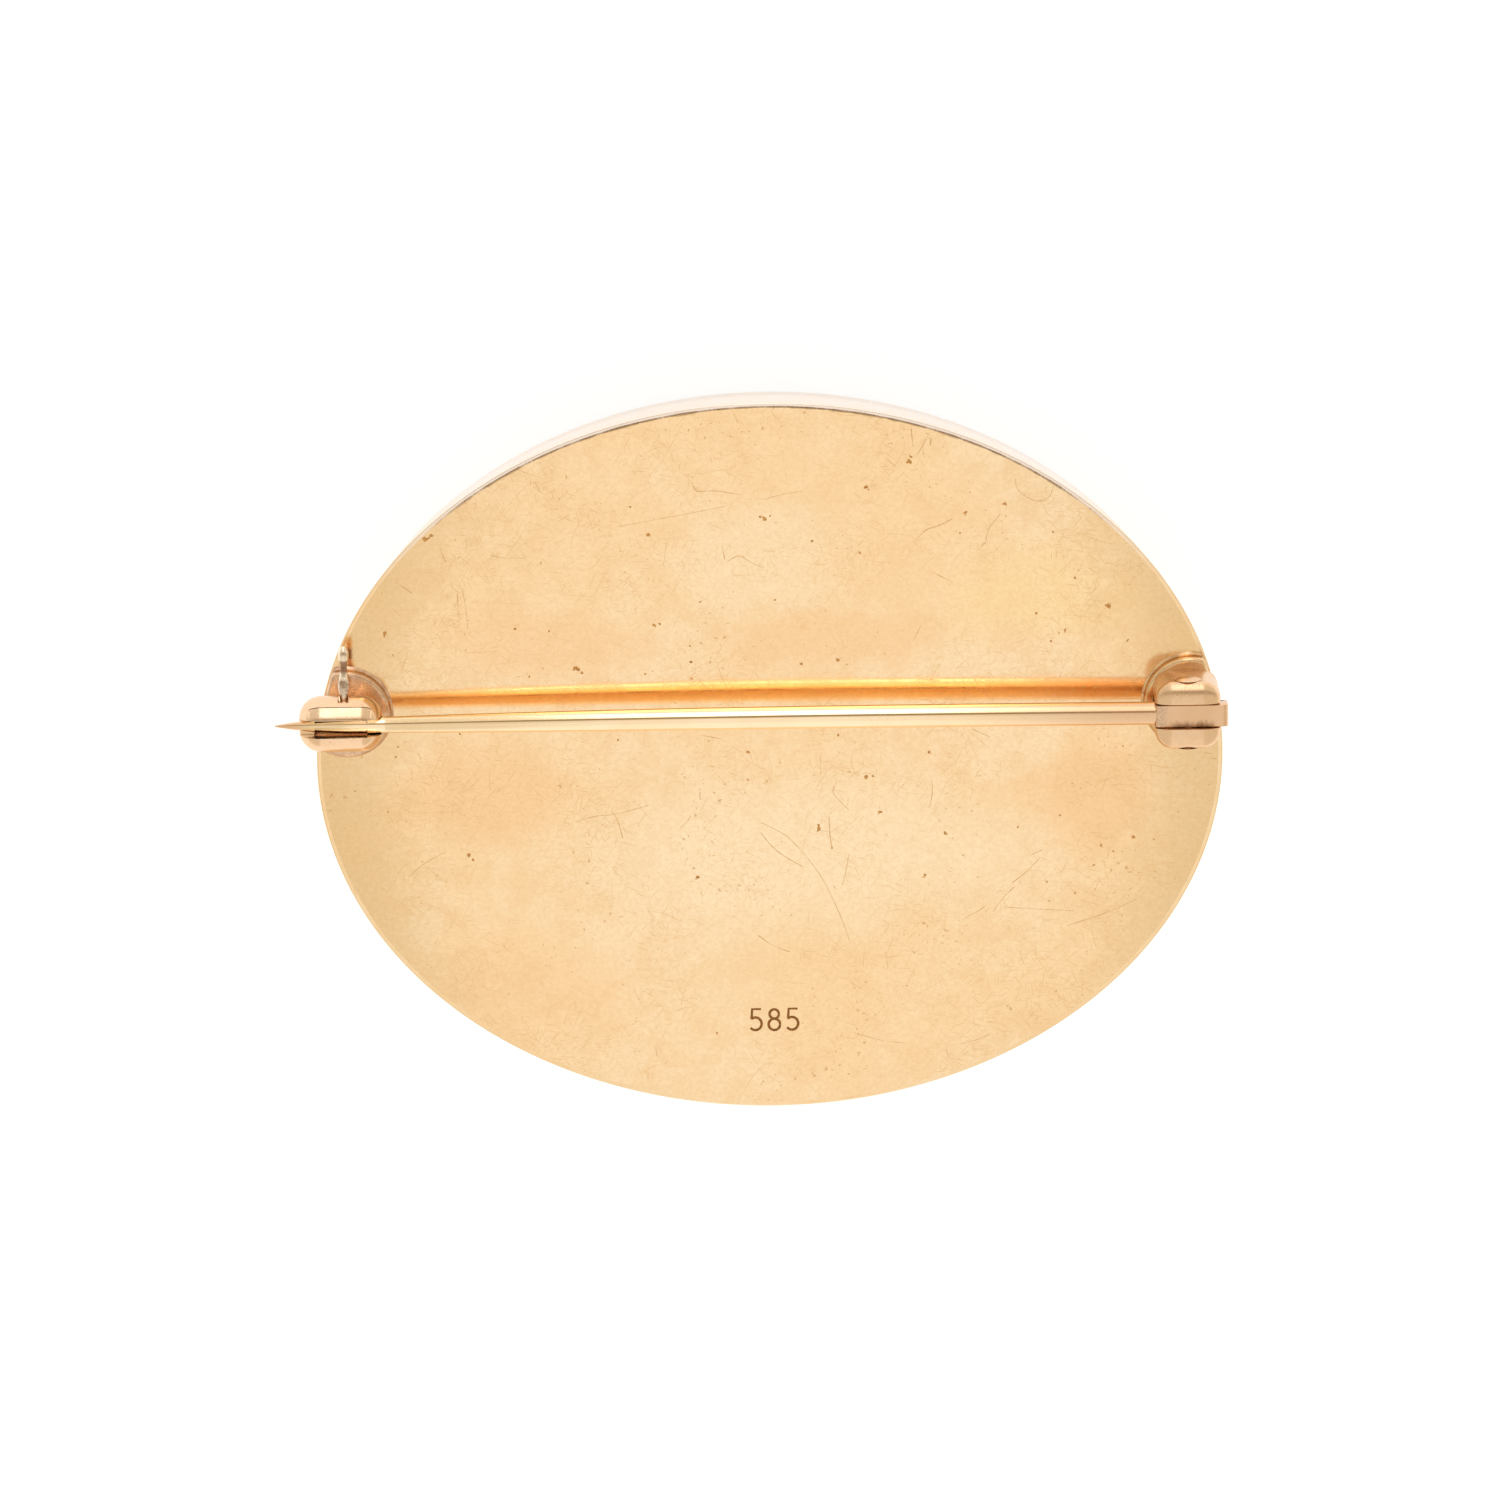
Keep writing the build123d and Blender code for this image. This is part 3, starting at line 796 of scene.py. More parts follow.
def makePlate():
    obj = growPiece("backPlate", domedPlate, plateValues)
    bm = bmesh.new()
    bm.from_mesh(obj.data)
    bmesh.ops.recalc_face_normals(bm, faces=bm.faces)
    if sum(f.normal.z for f in bm.faces) < 0:
        bmesh.ops.reverse_faces(bm, faces=bm.faces)
    for drop, inset in plateEdge:
        edge = [e for e in bm.edges if e.is_boundary]
        grown = bmesh.ops.extrude_edge_only(bm, edges=edge)["geom"]
        for vert in (g for g in grown if isinstance(g, bmesh.types.BMVert)):
            away = Vector((vert.co.x - plateX, vert.co.y, 0.0)).normalized()
            vert.co.z -= drop
            vert.co -= away * inset
    bmesh.ops.holes_fill(bm, edges=[e for e in bm.edges if e.is_boundary], sides=0)
    bmesh.ops.recalc_face_normals(bm, faces=bm.faces)
    bm.to_mesh(obj.data)
    bm.free()
    finishPiece(obj, "plateGold", settingPart, 50, weighted=False)


makePlate()
print("back plate made")


# bezel: wall, land, seam, bearer and lip as one ring

bezelValues = {
    "wall": 0.60,
    "land": 0.15,
    "landRound": 0.02,
    "seam": 0.062,
    "seamDepth": 0.055,
    "seamFilled": 0.008,  # how deep it still is where solder fills it
    "plateThickness": 0.55,
    "bearerLow": 8.03,
    "bearerHigh": 8.53,
    "bearerReach": 0.80,
    "bearerRound": 0.05,
    "lipTop": 4.65,
    "lipReach": 0.45,
    "edgeRound": 0.045,
    "lipRound": 0.16,
    "mouthRound": 0.06,
    "segments": 220,
}


def wallLean(z):
    return places["lean"] * (backZ - z) / (backZ - places["frontZ"])


def seamDepth(angle):
    # open along the top of the picture, in stretches, and filled elsewhere
    v = bezelValues
    share = min(max((math.sin(angle) - 0.64) / 0.16, 0.0), 1.0)
    ragged = 0.75 + 0.15 * math.sin(13 * angle + 1.0) + 0.10 * math.sin(31 * angle)
    return v["seamFilled"] + (v["seamDepth"] - v["seamFilled"]) * share * ragged


def bezelProfile(depth):
    # insets from the rim, heights and the rounding of each corner
    v = bezelValues
    under = backZ - v["plateThickness"]
    mouth = places["lean"] + v["wall"] + v["lipReach"]
    low, high = v["wall"] + wallLean(v["bearerLow"]), v["wall"] + wallLean(v["bearerHigh"])
    corners = [
        (places["lean"], places["frontZ"], v["lipRound"]),
        (0.0, backZ, v["edgeRound"]),
        (v["land"], backZ, v["landRound"]),
        (v["land"], backZ - depth, 0.0),
        (v["land"] + v["seam"], backZ - depth, 0.0),
        (v["land"] + v["seam"], under, 0.0),
        (v["wall"] + wallLean(under), under, 0.0),
        (high, v["bearerHigh"], 0.0),
        (high + v["bearerReach"], v["bearerHigh"], v["bearerRound"]),
        (low + v["bearerReach"], v["bearerLow"], v["bearerRound"]),
        (low, v["bearerLow"], 0.0),
        (v["wall"] + wallLean(v["lipTop"]), v["lipTop"], 0.0),
        (mouth, v["lipTop"], v["mouthRound"]),
        (mouth, places["frontZ"], v["lipRound"]),
    ]
    return roundedOutline([(a, b) for a, b, r in corners], [r for a, b, r in corners], 4)


def makeBezel():
    loops = []
    for angle in angles(bezelValues["segments"]):
        loops.append([(plateX + (places["rimHalfLength"] - inset) * math.cos(angle),
                       (places["rimHalfWidth"] - inset) * math.sin(angle), z)
                      for inset, z in bezelProfile(seamDepth(angle))])
    obj = loft("bezelRing", loops + loops[:1], capStart=False, capEnd=False)
    finishPiece(obj, "bezelGold", settingPart, 38, weighted=False)


makeBezel()
print("bezel made")


# round bases under the hinge and the catch, with a little solder run out at their foot

baseValues = {
    "hingeBase": {"x": 21.9, "radius": 2.30, "top": 10.951, "material": "baseGold"},
    "catchBase": {"x": -20.175, "radius": 2.20, "top": 10.95, "material": "catchBaseGold"},
    "edge": 0.22,
    "solder": 0.16,
    "solderRise": 1.1,  # its height over its width
    "sink": 0.03,  # how far its foot lies in the plate
    "rimInset": 0.09,
    "blend": 0.05,  # softens the corner where the disc meets the rim's oval
    "segments": 120,
}


def makeBase(name):
    v = {**baseValues, **baseValues[name]}
    halfLength = places["rimHalfLength"] - v["rimInset"]
    halfWidth = places["rimHalfWidth"] - v["rimInset"]
    offX = v["x"] - plateX

    def disc(radius, inset=0.0):
        # the disc's outline, which gives way where the rim's oval comes first
        points = []
        for a in angles(v["segments"]):
            ux, uy = math.cos(a), math.sin(a)
            p = (ux / halfLength) ** 2 + (uy / halfWidth) ** 2
            q = 2 * (offX * ux / halfLength ** 2 + pinY * uy / halfWidth ** 2)
            r = (offX / halfLength) ** 2 + (pinY / halfWidth) ** 2 - 1
            toRim = (-q + math.sqrt(q * q - 4 * p * r)) / (2 * p)
            both = math.exp(-radius / v["blend"]) + math.exp(-toRim / v["blend"])
            reach = -v["blend"] * math.log(both) - inset
            points.append((v["x"] + reach * ux, pinY + reach * uy))
        return points

    loops = []
    for share in (1.0, 0.75, 0.5, 0.25, 0.0):  # the solder, from the plate up to the disc's side
        outset = share * v["solder"]
        rise = (v["solder"] - outset) * v["solderRise"] - v["sink"]
        loops.append([(x, y, plateHeight(x, y) + rise) for x, y in disc(v["radius"] + outset)])
    for a in angles(6, quarterTurn, last=True):
        z = v["top"] - v["edge"] * (1 - math.sin(a))
        loops.append([(x, y, z) for x, y in disc(v["radius"], v["edge"] * (1 - math.cos(a)))])
    bottom = [(x, y, backZ + 0.02) for x, y, z in loops[0]]
    finishPiece(loft(name, [bottom] + loops), v["material"], settingPart, 55)


makeBase("hingeBase")
makeBase("catchBase")
print("bases made")


# hinge: two rounded ears with a slot between them, and the rivet

hingeValues = {
    "length": 3.25,
    "span": 3.40,
    "corner": 0.90,
    "topEdge": 0.55,
    "domeReach": 0.95,  # how far in from the edge the top still rises
    "top": 13.95,
    "foot": 10.75,
    "slotFloor": 10.951,
    "slotHalf": 0.63,
    "bore": 0.512,
    "softEdge": 0.05,
    "rivetRadius": 0.50,
    "headRadius": 0.68,
    "headHeight": 0.14,
    "headGap": 0.01,
}


def upright(a, b, depth):
    # across the hinge: a along the pin, b up
    return places["hingeX"] + a, pinY + depth, pinZ + b


def makeEars():
    v = hingeValues
    levels = [(0.0, v["foot"])]
    for a in angles(12, quarterTurn, last=True):
        levels.append((v["domeReach"] * (1 - math.cos(a)), v["top"] - v["topEdge"] * (1 - math.sin(a))))
    loops = []
    for inset, z in levels:
        outline = roundedBox(v["length"] / 2 - inset, v["span"] / 2 - inset, v["corner"] - inset)
        loops.append([(places["hingeX"] + a, pinY + b, z) for a, b in outline])
    obj = loft("hingeEars", loops)
    half = v["slotHalf"]
    slot = [(-4.0, -half), (4.0, -half), (4.0, half), (-4.0, half)]
    level = lambda a, b, depth: (places["hingeX"] + a, pinY + b, depth)
    cut(obj, prism(slot, level, v["slotFloor"], v["top"] + 1))
    cut(obj, prism(oval(v["bore"], v["bore"], 32), upright, -3.0, 3.0))
    soften(obj, v["softEdge"], 3)
    finishPiece(obj, "findingGold", settingPart, 42)


def makeRivet():
    v = hingeValues
    half = v["span"] / 2 + v["headGap"]
    ball = (v["headRadius"] ** 2 + v["headHeight"] ** 2) / (2 * v["headHeight"])
    profile = []  # the domed head, from its crown to its rim
    for a in angles(8, math.asin(v["headRadius"] / ball), last=True):
        profile.append((-(half + v["headHeight"] - ball * (1 - math.cos(a))), max(ball * math.sin(a), 0.004)))
    profile += [(-half, v["headRadius"] - 0.01), (-half, v["rivetRadius"])]
    place = lambda along, u, w: upright(u, w, along)
    obj = turned(mirrored(profile), place, 48, "hingeRivet")
    finishPiece(obj, "findingGold", rivetPart, 45)


makeEars()
makeRivet()
print("hinge made")


# catch: the barrel with its mouth, on a short post

catchValues = {
    "length": 4.15,
    "radius": 1.40,
    "endRound": 1.10,
    "chamberRadius": 1.15,
    "chamberLength": 2.65,
    "mouthLength": 3.10,
    "mouthLow": -18.3,
    "mouthHigh": 50.0,
    "outside": 2.8,  # a radius that clears the barrel, for what cuts it
    "slotHalf": 0.44,
    "lift": 0.35,
    "leverSlotRoot": 0.57,
    "leverSlotLow": 60.5,
    "leverSlotHigh": 119.5,
    "leverShift": 0.16,
    "leverSlotHalf": 0.27,
    "postLength": 2.60,
    "postWidth": 1.50,
    "postFlare": [(0.16, -1.70), (0.05, -1.62), (0.0, -1.5), (0.0, -1.22)],  # outset and height
    "softEdge": 0.05,
}


def catchPlace(along, y, z):
    return places["catchX"] + along, pinY + y, places["catchZ"] + z


def acrossCatch(a, b, depth):
    return catchPlace(depth, a, b)


def arcOutline(inner, outer, start, end, steps=14):
    # angles are from straight up toward +Y
    turns = [math.radians(a) for a in angles(steps, end, start, last=True)]
    low = [(inner * math.sin(a), inner * math.cos(a)) for a in turns]
    return low + [(outer * math.sin(a), outer * math.cos(a)) for a in reversed(turns)]


def pinWay():
    # the round-footed slot that the pin lies in, as a cutter
    half, lift = catchValues["slotHalf"], catchValues["lift"]
    foot = [(half * math.cos(a), lift + half * math.sin(a)) for a in angles(12, fullTurn, math.pi, last=True)]
    return prism(foot + [(half, lift + 3.0), (-half, lift + 3.0)], acrossCatch, -4.0, 4.0)


def barrelProfile(inset):
    # the round-ended barrel, from its flat end disc out to its full radius and back
    v = catchValues
    half, edge = v["length"] / 2 - inset, v["endRound"] - inset
    return mirrored([(-half + edge * (1 - math.cos(a)), v["radius"] - inset - edge * (1 - math.sin(a)))
                     for a in angles(12, quarterTurn, last=True)])


def makeBarrel():
    v = catchValues
    obj = turned(barrelProfile(0.0), catchPlace, 96, "catchBarrel")
    cut(obj, turned(mirrored([(-v["chamberLength"] / 2, v["chamberRadius"])]), catchPlace, 64))
    mouth = arcOutline(v["chamberRadius"], v["outside"], v["mouthLow"], v["mouthHigh"])
    cut(obj, prism(mouth, acrossCatch, -v["mouthLength"] / 2, v["mouthLength"] / 2))
    cut(obj, pinWay())
    slot = arcOutline(v["leverSlotRoot"], v["outside"], v["leverSlotLow"], v["leverSlotHigh"])
    shift, half = v["leverShift"], v["leverSlotHalf"]
    cut(obj, prism(slot, acrossCatch, shift - half, shift + half))
    soften(obj, v["softEdge"], 2)
    finishPiece(obj, "barrelGold", settingPart, 42)


def makePost():
    v = catchValues
    loops = []
    for outset, z in v["postFlare"]:
        outline = roundedBox(v["postLength"] / 2 + outset, v["postWidth"] / 2 + outset, 0.3 + outset, 5)
        loops.append([catchPlace(a, b, z) for a, b in outline])
    finishPiece(loft("catchPost", loops), "catchBaseGold", settingPart, 50)


makeBarrel()
makePost()
print("catch made")


# roller with its lever

rollerValues = {
    "radius": 1.12,
    "bore": 0.87,
    "length": 2.59,
    "coverRoot": 1.0,
    "coverGap": 0.03,
    "coverDrop": 0.02,
    "coverLow": 19.5,
    "coverHigh": 48.8,
    "softEdge": 0.03,
    "leverAngle": 108.0,
    "leverReach": 3.60,
}
leverSections = [  # share of the reach, half width, half thickness
    (0.28, 0.20, 0.16), (0.43, 0.21, 0.17), (0.46, 0.29, 0.20), (0.58, 0.29, 0.20), (0.62, 0.22, 0.17),
    (0.72, 0.175, 0.14), (0.80, 0.165, 0.135), (0.835, 0.175, 0.155), (0.865, 0.225, 0.205),
    (0.90, 0.25, 0.24), (0.95, 0.26, 0.25), (1.0, 0.25, 0.235), (1.035, 0.21, 0.195), (1.058, 0.15, 0.14),
    (1.068, 0.06, 0.06)]


def makeRoller():
    v = rollerValues
    half = v["length"] / 2
    obj = turned(mirrored([(-half, v["radius"])]), catchPlace, 72, "catchRoller")
    cut(obj, turned(mirrored([(-2.0, v["bore"])]), catchPlace, 64))
    outside = catchValues["outside"]
    cover = arcOutline(v["coverRoot"], outside, v["coverLow"], v["coverHigh"])
    cover = prism(cover, acrossCatch, -half, half)
    endHalf = catchValues["mouthLength"] / 2 - v["coverGap"]
    ends = arcOutline(catchValues["chamberRadius"] + v["coverGap"], outside, v["coverLow"], v["coverHigh"])
    cut(cover, prism(ends, acrossCatch, -endHalf, endHalf), "UNION")
    cut(cover, turned(barrelProfile(v["coverDrop"]), catchPlace, 96), "INTERSECT")
    cut(obj, cover, "UNION")
    cut(obj, pinWay())
    soften(obj, v["softEdge"], 2)
    finishPiece(obj, "rollerGold", rollerPart, 42)


def makeLever():
    # a bar that narrows to a neck, with an oval thumb tip
    v = rollerValues
    turn = math.radians(v["leverAngle"])
    loops = []
    for share, halfWidth, halfThick in leverSections:
        along = share * v["leverReach"]
        outline = roundedBox(halfWidth, halfThick, min(halfWidth, halfThick) * 0.97, 5)
        loops.append([catchPlace(catchValues["leverShift"] + a, along * math.sin(turn) + b * math.cos(turn),
                                 along * math.cos(turn) - b * math.sin(turn)) for a, b in outline])
    obj = loft("catchLever", loops)
    modify(obj, "SUBSURF", levels=2, render_levels=2)
    finishPiece(obj, "leverGold", rollerPart, 60)


makeRoller()
makeLever()
print("roller made")


# pin: the stem follows a rule, the tang is a flat plate

pinValues = {
    "startX": 20.545,  # inside the tang
    "catchX": -18.30,  # where the point begins
    "shoulderX": -22.45,
    "endX": -23.65,
    "stemRadius": 0.58,
    "catchRadius": 0.40,
    "shoulderRadius": 0.225,
    "tipRadius": 0.03,
    "arch": 0.40,
    "bow": 0.16,
    "bowPower": 1.15,  # 1 leaves the ends at the full slope, 2 leaves them level
    "steps": 220,
    "sides": 32,
}


def arcThrough(p, q, r):
    # centre and radius of the circle through three flat points
    (ax, ay), (bx, by), (cx, cy) = p, q, r
    a, b, c = ax * ax + ay * ay, bx * bx + by * by, cx * cx + cy * cy
    d = 2 * (ax * (by - cy) + bx * (cy - ay) + cx * (ay - by))
    ux = (a * (by - cy) + b * (cy - ay) + c * (ay - by)) / d
    uy = (a * (cx - bx) + b * (ax - cx) + c * (bx - ax)) / d
    return ux, uy, math.hypot(ax - ux, ay - uy)


def sprungStem(tree, startX, catchX, endX, stemRadius, catchRadius, arcX, arcHeight, arcRadius,
               arch, bow, bowPower, lineY, lineZ, steps, sides):
    line = field(tree, "GeometryNodeCurvePrimitiveLine", {"Start": (0.0, 0.0, 0.0), "End": (-1.0, 0.0, 0.0)})
    dense = field(tree, "GeometryNodeResampleCurve", {"Curve": line, "Count": steps})
    along = field(tree, "GeometryNodeSplineParameter", {}, "Factor")
    eased = 1.0 - (1.0 - along) ** 1.35  # closer steps at the tip
    x = startX + eased * (endX - startX)
    way = (x - startX) / (catchX - startX)
    inStem = calc("MINIMUM", way, 1.0)
    lift = larger(calc("SINE", inStem * math.pi), 0.0) ** bowPower
    stemSize = stemRadius + inStem ** 4.0 * (catchRadius - stemRadius)
    off = x - arcX
    pointSize = arcHeight + calc("SQRT", larger(arcRadius * arcRadius - off * off, 0.0))
    inPoint = calc("GREATER_THAN", way, 1.0)
    keptSize = addNode(tree, "GeometryNodeCaptureAttribute", {"Geometry": dense}, domain="POINT")
    keptSize.capture_items.new("FLOAT", "Size")
    feed(keptSize.inputs["Size"], stemSize * (1.0 - inPoint) + pointSize * inPoint)
    place = joinVector(x, lineY + lift * bow, lineZ + lift * arch)
    bent = field(tree, "GeometryNodeSetPosition", {
        "Geometry": Field(keptSize.outputs["Geometry"]), "Position": place})
    ring = field(tree, "GeometryNodeCurvePrimitiveCircle", {"Resolution": sides, "Radius": 1.0})
    return field(tree, "GeometryNodeCurveToMesh", {
        "Curve": bent, "Profile Curve": ring, "Scale": Field(keptSize.outputs["Size"]), "Fill Caps": True})


def makeStem():
    v = pinValues
    names = ("catchX", "catchRadius"), ("shoulderX", "shoulderRadius"), ("endX", "tipRadius")
    arcX, arcHeight, arcRadius = arcThrough(*((v[x], v[radius]) for x, radius in names))
    obj = growPiece("pinStem", sprungStem, {
        "startX": v["startX"], "catchX": v["catchX"], "endX": v["endX"], "stemRadius": v["stemRadius"],
        "catchRadius": v["catchRadius"], "arcX": arcX, "arcHeight": arcHeight, "arcRadius": arcRadius,
        "arch": v["arch"], "bow": v["bow"], "bowPower": v["bowPower"], "lineY": pinY, "lineZ": pinZ,
        "steps": v["steps"], "sides": v["sides"], "material": materials["pinGold"]})
    finishPiece(outward(obj), "pinGold", pinPart, 60, weighted=False)


tangValues = {
    "front": 1.60,
    "half": 0.62,
    "tail": 2.0,
    "tailDrop": 0.35,
    "heel": 0.5,  # where the underside turns up to the tail
    "rounds": [0.12, 0.12, 0.25, 0.05, 0.3],
    "halfWidth": 0.60,
    "farHalfWidth": 0.52,  # toward +Y, where a dark gap shows beside the ear
    "hole": 0.525,
    "softEdge": 0.07,
}


def makeTang():
    v = tangValues
    corners = [(-v["front"], -v["half"]), (-v["front"], v["half"]), (v["tail"], v["half"]),
               (v["tail"], -v["tailDrop"]), (v["heel"], -v["half"])]
    outline = roundedOutline(corners, v["rounds"], 6)
    obj = prism(outline, upright, -v["halfWidth"], v["farHalfWidth"], "pinTang")
    cut(obj, prism(oval(v["hole"], v["hole"], 40), upright, -2.0, 2.0))
    soften(obj, v["softEdge"], 3, 40)
    finishPiece(obj, "tangGold", pinPart, 42)


makeStem()
makeTang()
print("pin made")


# crystal, the painted flower in its carving, and the pearl behind

stoneValues = {
    "halfLength": 20.86,
    "halfWidth": 16.36,
    "girdleZ": 4.65,
    "backZ": 7.25,
    "girdleInset": 0.64,
    "girdleRise": 0.04,
    "backEdge": 0.06,
    "backEdgeInset": 0.05,
    "carvingZ": 6.75,
    "segments": 180,
    "domeRings": 36,
    "pearlZ": 7.29,
    "pearlThickness": 0.70,
    "pearlInset": 0.64,
    "pearlFaceInset": 0.70,
    "pearlEdge": 0.06,
    "pearlSegments": 160,
}
flowerValues = {
    "petals": 5,
    "petalRing": 2.6,
    "petalHalfLength": 2.3,
    "petalHalfWidth": 1.7,
    "eyeRadius": 1.3,
    "stalkHalfWidth": 0.275,
    "stalkLength": 14.0,
    "stalkLean": -22.0,
    "leafLength": 5.4,
    "leafWidth": 2.3,
    "leaves": [(0.42, 52.0, 1.0), (0.70, -50.0, 0.85), (0.97, 38.0, 0.7)],  # way down the stalk, turn, size
    "gap": 0.03,
    "inset": 0.02,
    "petalHeights": (7.20, 6.80),  # of a petal's flat back and of its crown
    "eyeHeights": (7.21, 6.785),
    "leafHeights": (7.19, 6.84),
    "petalGroove": 0.35,  # along its middle, as a share of how far it swells
    "leafGroove": 0.3,
    "grooveWidth": 0.07,
    "swellPower": 2.4,
    "swellRings": 9,
    "petalSeed": 3,
}


def ovalLoop(halfLength, halfWidth, z, count):
    return [(x, y, z) for x, y in oval(halfLength, halfWidth, count, plateX)]


def wallOval(z, inset, count):
    inset = inset + wallLean(z)
    return ovalLoop(places["rimHalfLength"] - inset, places["rimHalfWidth"] - inset, z, count)


def movedOval(halfLength, halfWidth, shiftX, shiftY, turns, count=40):
    # an oval that is turned and then moved by each (degrees, dx, dy) in order
    points = oval(halfLength, halfWidth, count, shiftX, shiftY)
    for degrees, dx, dy in turns:
        spun = [turnedPoint(x, y, degrees) for x, y in points]
        points = [(x + dx, y + dy) for x, y in spun]
    return points


def flowerOutlines(grow):
    v = flowerValues
    centre = flowerCentre[:2]
    shapes = [movedOval(v["eyeRadius"] + grow, v["eyeRadius"] + grow, 0, 0, [(0, *centre)])]
    for i in range(v["petals"]):
        shapes.append(movedOval(v["petalHalfLength"] + grow, v["petalHalfWidth"] + grow, v["petalRing"], 0,
                                [(90 + i * 360 / v["petals"], *centre)]))
    stalk = roundedBox(v["stalkHalfWidth"] + grow, v["stalkLength"] / 2 + grow, 0.26, 5)
    stalk = [turnedPoint(x, y - v["stalkLength"] / 2, v["stalkLean"]) for x, y in stalk]
    shapes.append([tuple(Vector(point) + Vector(centre)) for point in stalk])
    reach = v["petalRing"] + v["petalHalfLength"]
    for way, turn, size in v["leaves"]:
        half = size * v["leafLength"] / 2
        foot = reach + way * (v["stalkLength"] - reach)
        shapes.append(movedOval(size * v["leafWidth"] / 2 + grow, half + grow, 0, half,
                                [(turn, 0, -foot), (v["stalkLean"], *centre)]))
    return shapes


def makeCrystal():
    v = stoneValues
    count = v["segments"]
    ball = (v["halfLength"] ** 2 + v["girdleZ"] ** 2) / (2 * v["girdleZ"])
    loops = []
    for a in angles(v["domeRings"], math.asin(v["halfLength"] / ball), last=True)[1:]:
        r = ball * math.sin(a)
        loops.append(ovalLoop(r, r * v["halfWidth"] / v["halfLength"], ball * (1 - math.cos(a)), count))
    levels = ((v["girdleZ"] + v["girdleRise"], 0.0), (v["backZ"] - v["backEdge"], 0.0),
              (v["backZ"], v["backEdgeInset"]))
    for z, inset in levels:
        loops.append(wallOval(z, v["girdleInset"] + inset, count))
    bm = loftLoops(loops, capStart=False)
    first = list(bm.verts)[:count]
    pole = bm.verts.new(plateCentre)
    for i in range(count):
        bm.faces.new((pole, first[(i + 1) % count], first[i]))
    obj = outward(meshObject("crystalStone", bm))
    for outline in flowerOutlines(flowerValues["gap"]):
        cut(obj, prism(outline, lambda a, b, depth: (a, b, depth), v["carvingZ"], v["backZ"] + 0.5))
    finishPiece(obj, "rockCrystal", crystalPart, 30)


def domedLeaf(name, outline, floorZ, crownZ, groove):
    # a flat-backed leaf or petal whose front swells toward the crystal's face
    v = flowerValues
    count = len(outline)
    centre = Vector((sum(p[0] for p in outline) / count, sum(p[1] for p in outline) / count))
    offs = [Vector(p) - centre for p in outline]
    axis = max(offs, key=lambda off: off.length)
    far, axis = axis.length, axis.normalized()
    loops = [[(x, y, floorZ) for x, y in outline]]
    for step in range(1, v["swellRings"]):
        share = 1 - step / v["swellRings"]
        swell = 1 - share ** v["swellPower"]
        loop = []
        for off in (off * share for off in offs):
            side = abs(off.x * axis.y - off.y * axis.x) / far
            dip = groove * math.exp(-(side / v["grooveWidth"]) ** 2) * swell
            loop.append((*(centre + off), floorZ - (floorZ - crownZ) * (swell - dip)))
        loops.append(loop)
    return loft(name, loops)


def petalRing(tree, petal, count, centre, seed):
    # copies of the one petal in a ring about the eye
    points = field(tree, "GeometryNodePoints", {"Count": count, "Position": centre})
    source = field(tree, "GeometryNodeObjectInfo", {"Object": petal}, "Geometry", transform_space="ORIGINAL")
    turn = field(tree, "GeometryNodeInputIndex", {}) * (fullTurn / count)
    size = field(tree, "FunctionNodeRandomValue", {2: 0.94, 3: 0.99, "Seed": seed}, 1, data_type="FLOAT")
    return field(tree, "GeometryNodeInstanceOnPoints", {
        "Points": points, "Instance": source, "Rotation": joinVector(0.0, 0.0, turn),
        "Scale": joinVector(size, size, 1.0)})


def makeFlower():
    v = flowerValues
    floorZ, crownZ = v["petalHeights"]
    halfLength, halfWidth = v["petalHalfLength"] - v["inset"], v["petalHalfWidth"] - v["inset"]
    outline = movedOval(halfLength, halfWidth, v["petalRing"], 0, [(90, 0, 0)], 48)
    petal = domedLeaf("petal", outline, 0.0, crownZ - floorZ, v["petalGroove"])
    ring = growPiece("flowerPetals", petalRing, {
        "petal": petal, "count": v["petals"], "centre": (*flowerCentre[:2], floorZ), "seed": v["petalSeed"],
        "material": materials["petalPaint"]})
    bpy.data.objects.remove(petal)
    finishPiece(ring, "petalPaint", flowerPart, 60, weighted=False)
    shapes = flowerOutlines(-v["inset"])
    eye = domedLeaf("flowerEye", shapes[0], *v["eyeHeights"], 0.0)
    finishPiece(eye, "eyePaint", flowerPart, 60, weighted=False)
    bm = bmesh.new()
    for outline in shapes[v["petals"] + 1:]:
        part = domedLeaf("leafPart", outline, *v["leafHeights"], v["leafGroove"])
        bm.from_mesh(part.data)
        bpy.data.objects.remove(part)
    finishPiece(meshObject("flowerLeaves", bm), "leafPaint", flowerPart, 60, weighted=False)


def makePearlPlate():
    v = stoneValues
    low, high = v["pearlZ"], v["pearlZ"] + v["pearlThickness"]
    inset, faceInset, edge = v["pearlInset"], v["pearlFaceInset"], v["pearlEdge"]
    levels = ((low, faceInset), (low + edge, inset), (high - edge, inset), (high, faceInset))
    obj = loft("pearlBacking", [wallOval(z, inset, v["pearlSegments"]) for z, inset in levels])
    finishPiece(obj, "motherOfPearl", pearlPart, 50)


makeCrystal()
makeFlower()
makePearlPlate()
print("crystal, flower and pearl made")


# small struck figures on the plate

stampValues = {
    "x": 0.95,
    "y": -13.55,
    "height": 1.12,
    "pitch": 0.92,
    "margin": 0.12,
    "stroke": 0.070,
    "relief": 0.009,
    "figures": ["5", "8", "5"],
}


def figureStrokes(figure):
    # centre lines of a plain figure in a box 0.58 wide and 1 high
    if figure == "8":
        rings = oval(0.21, 0.22, 15, 0.29, 0.76), oval(0.26, 0.27, 15, 0.29, 0.27)
        return [ring + ring[:1] for ring in rings]
    bowl = angles(15, math.radians(-142), math.radians(128), last=True)
    curve = [(0.26 + 0.28 * math.cos(a), 0.31 + 0.30 * math.sin(a)) for a in bowl]
    return [[(0.52, 1.0), (0.12, 1.0), (0.09, 0.55)] + curve]


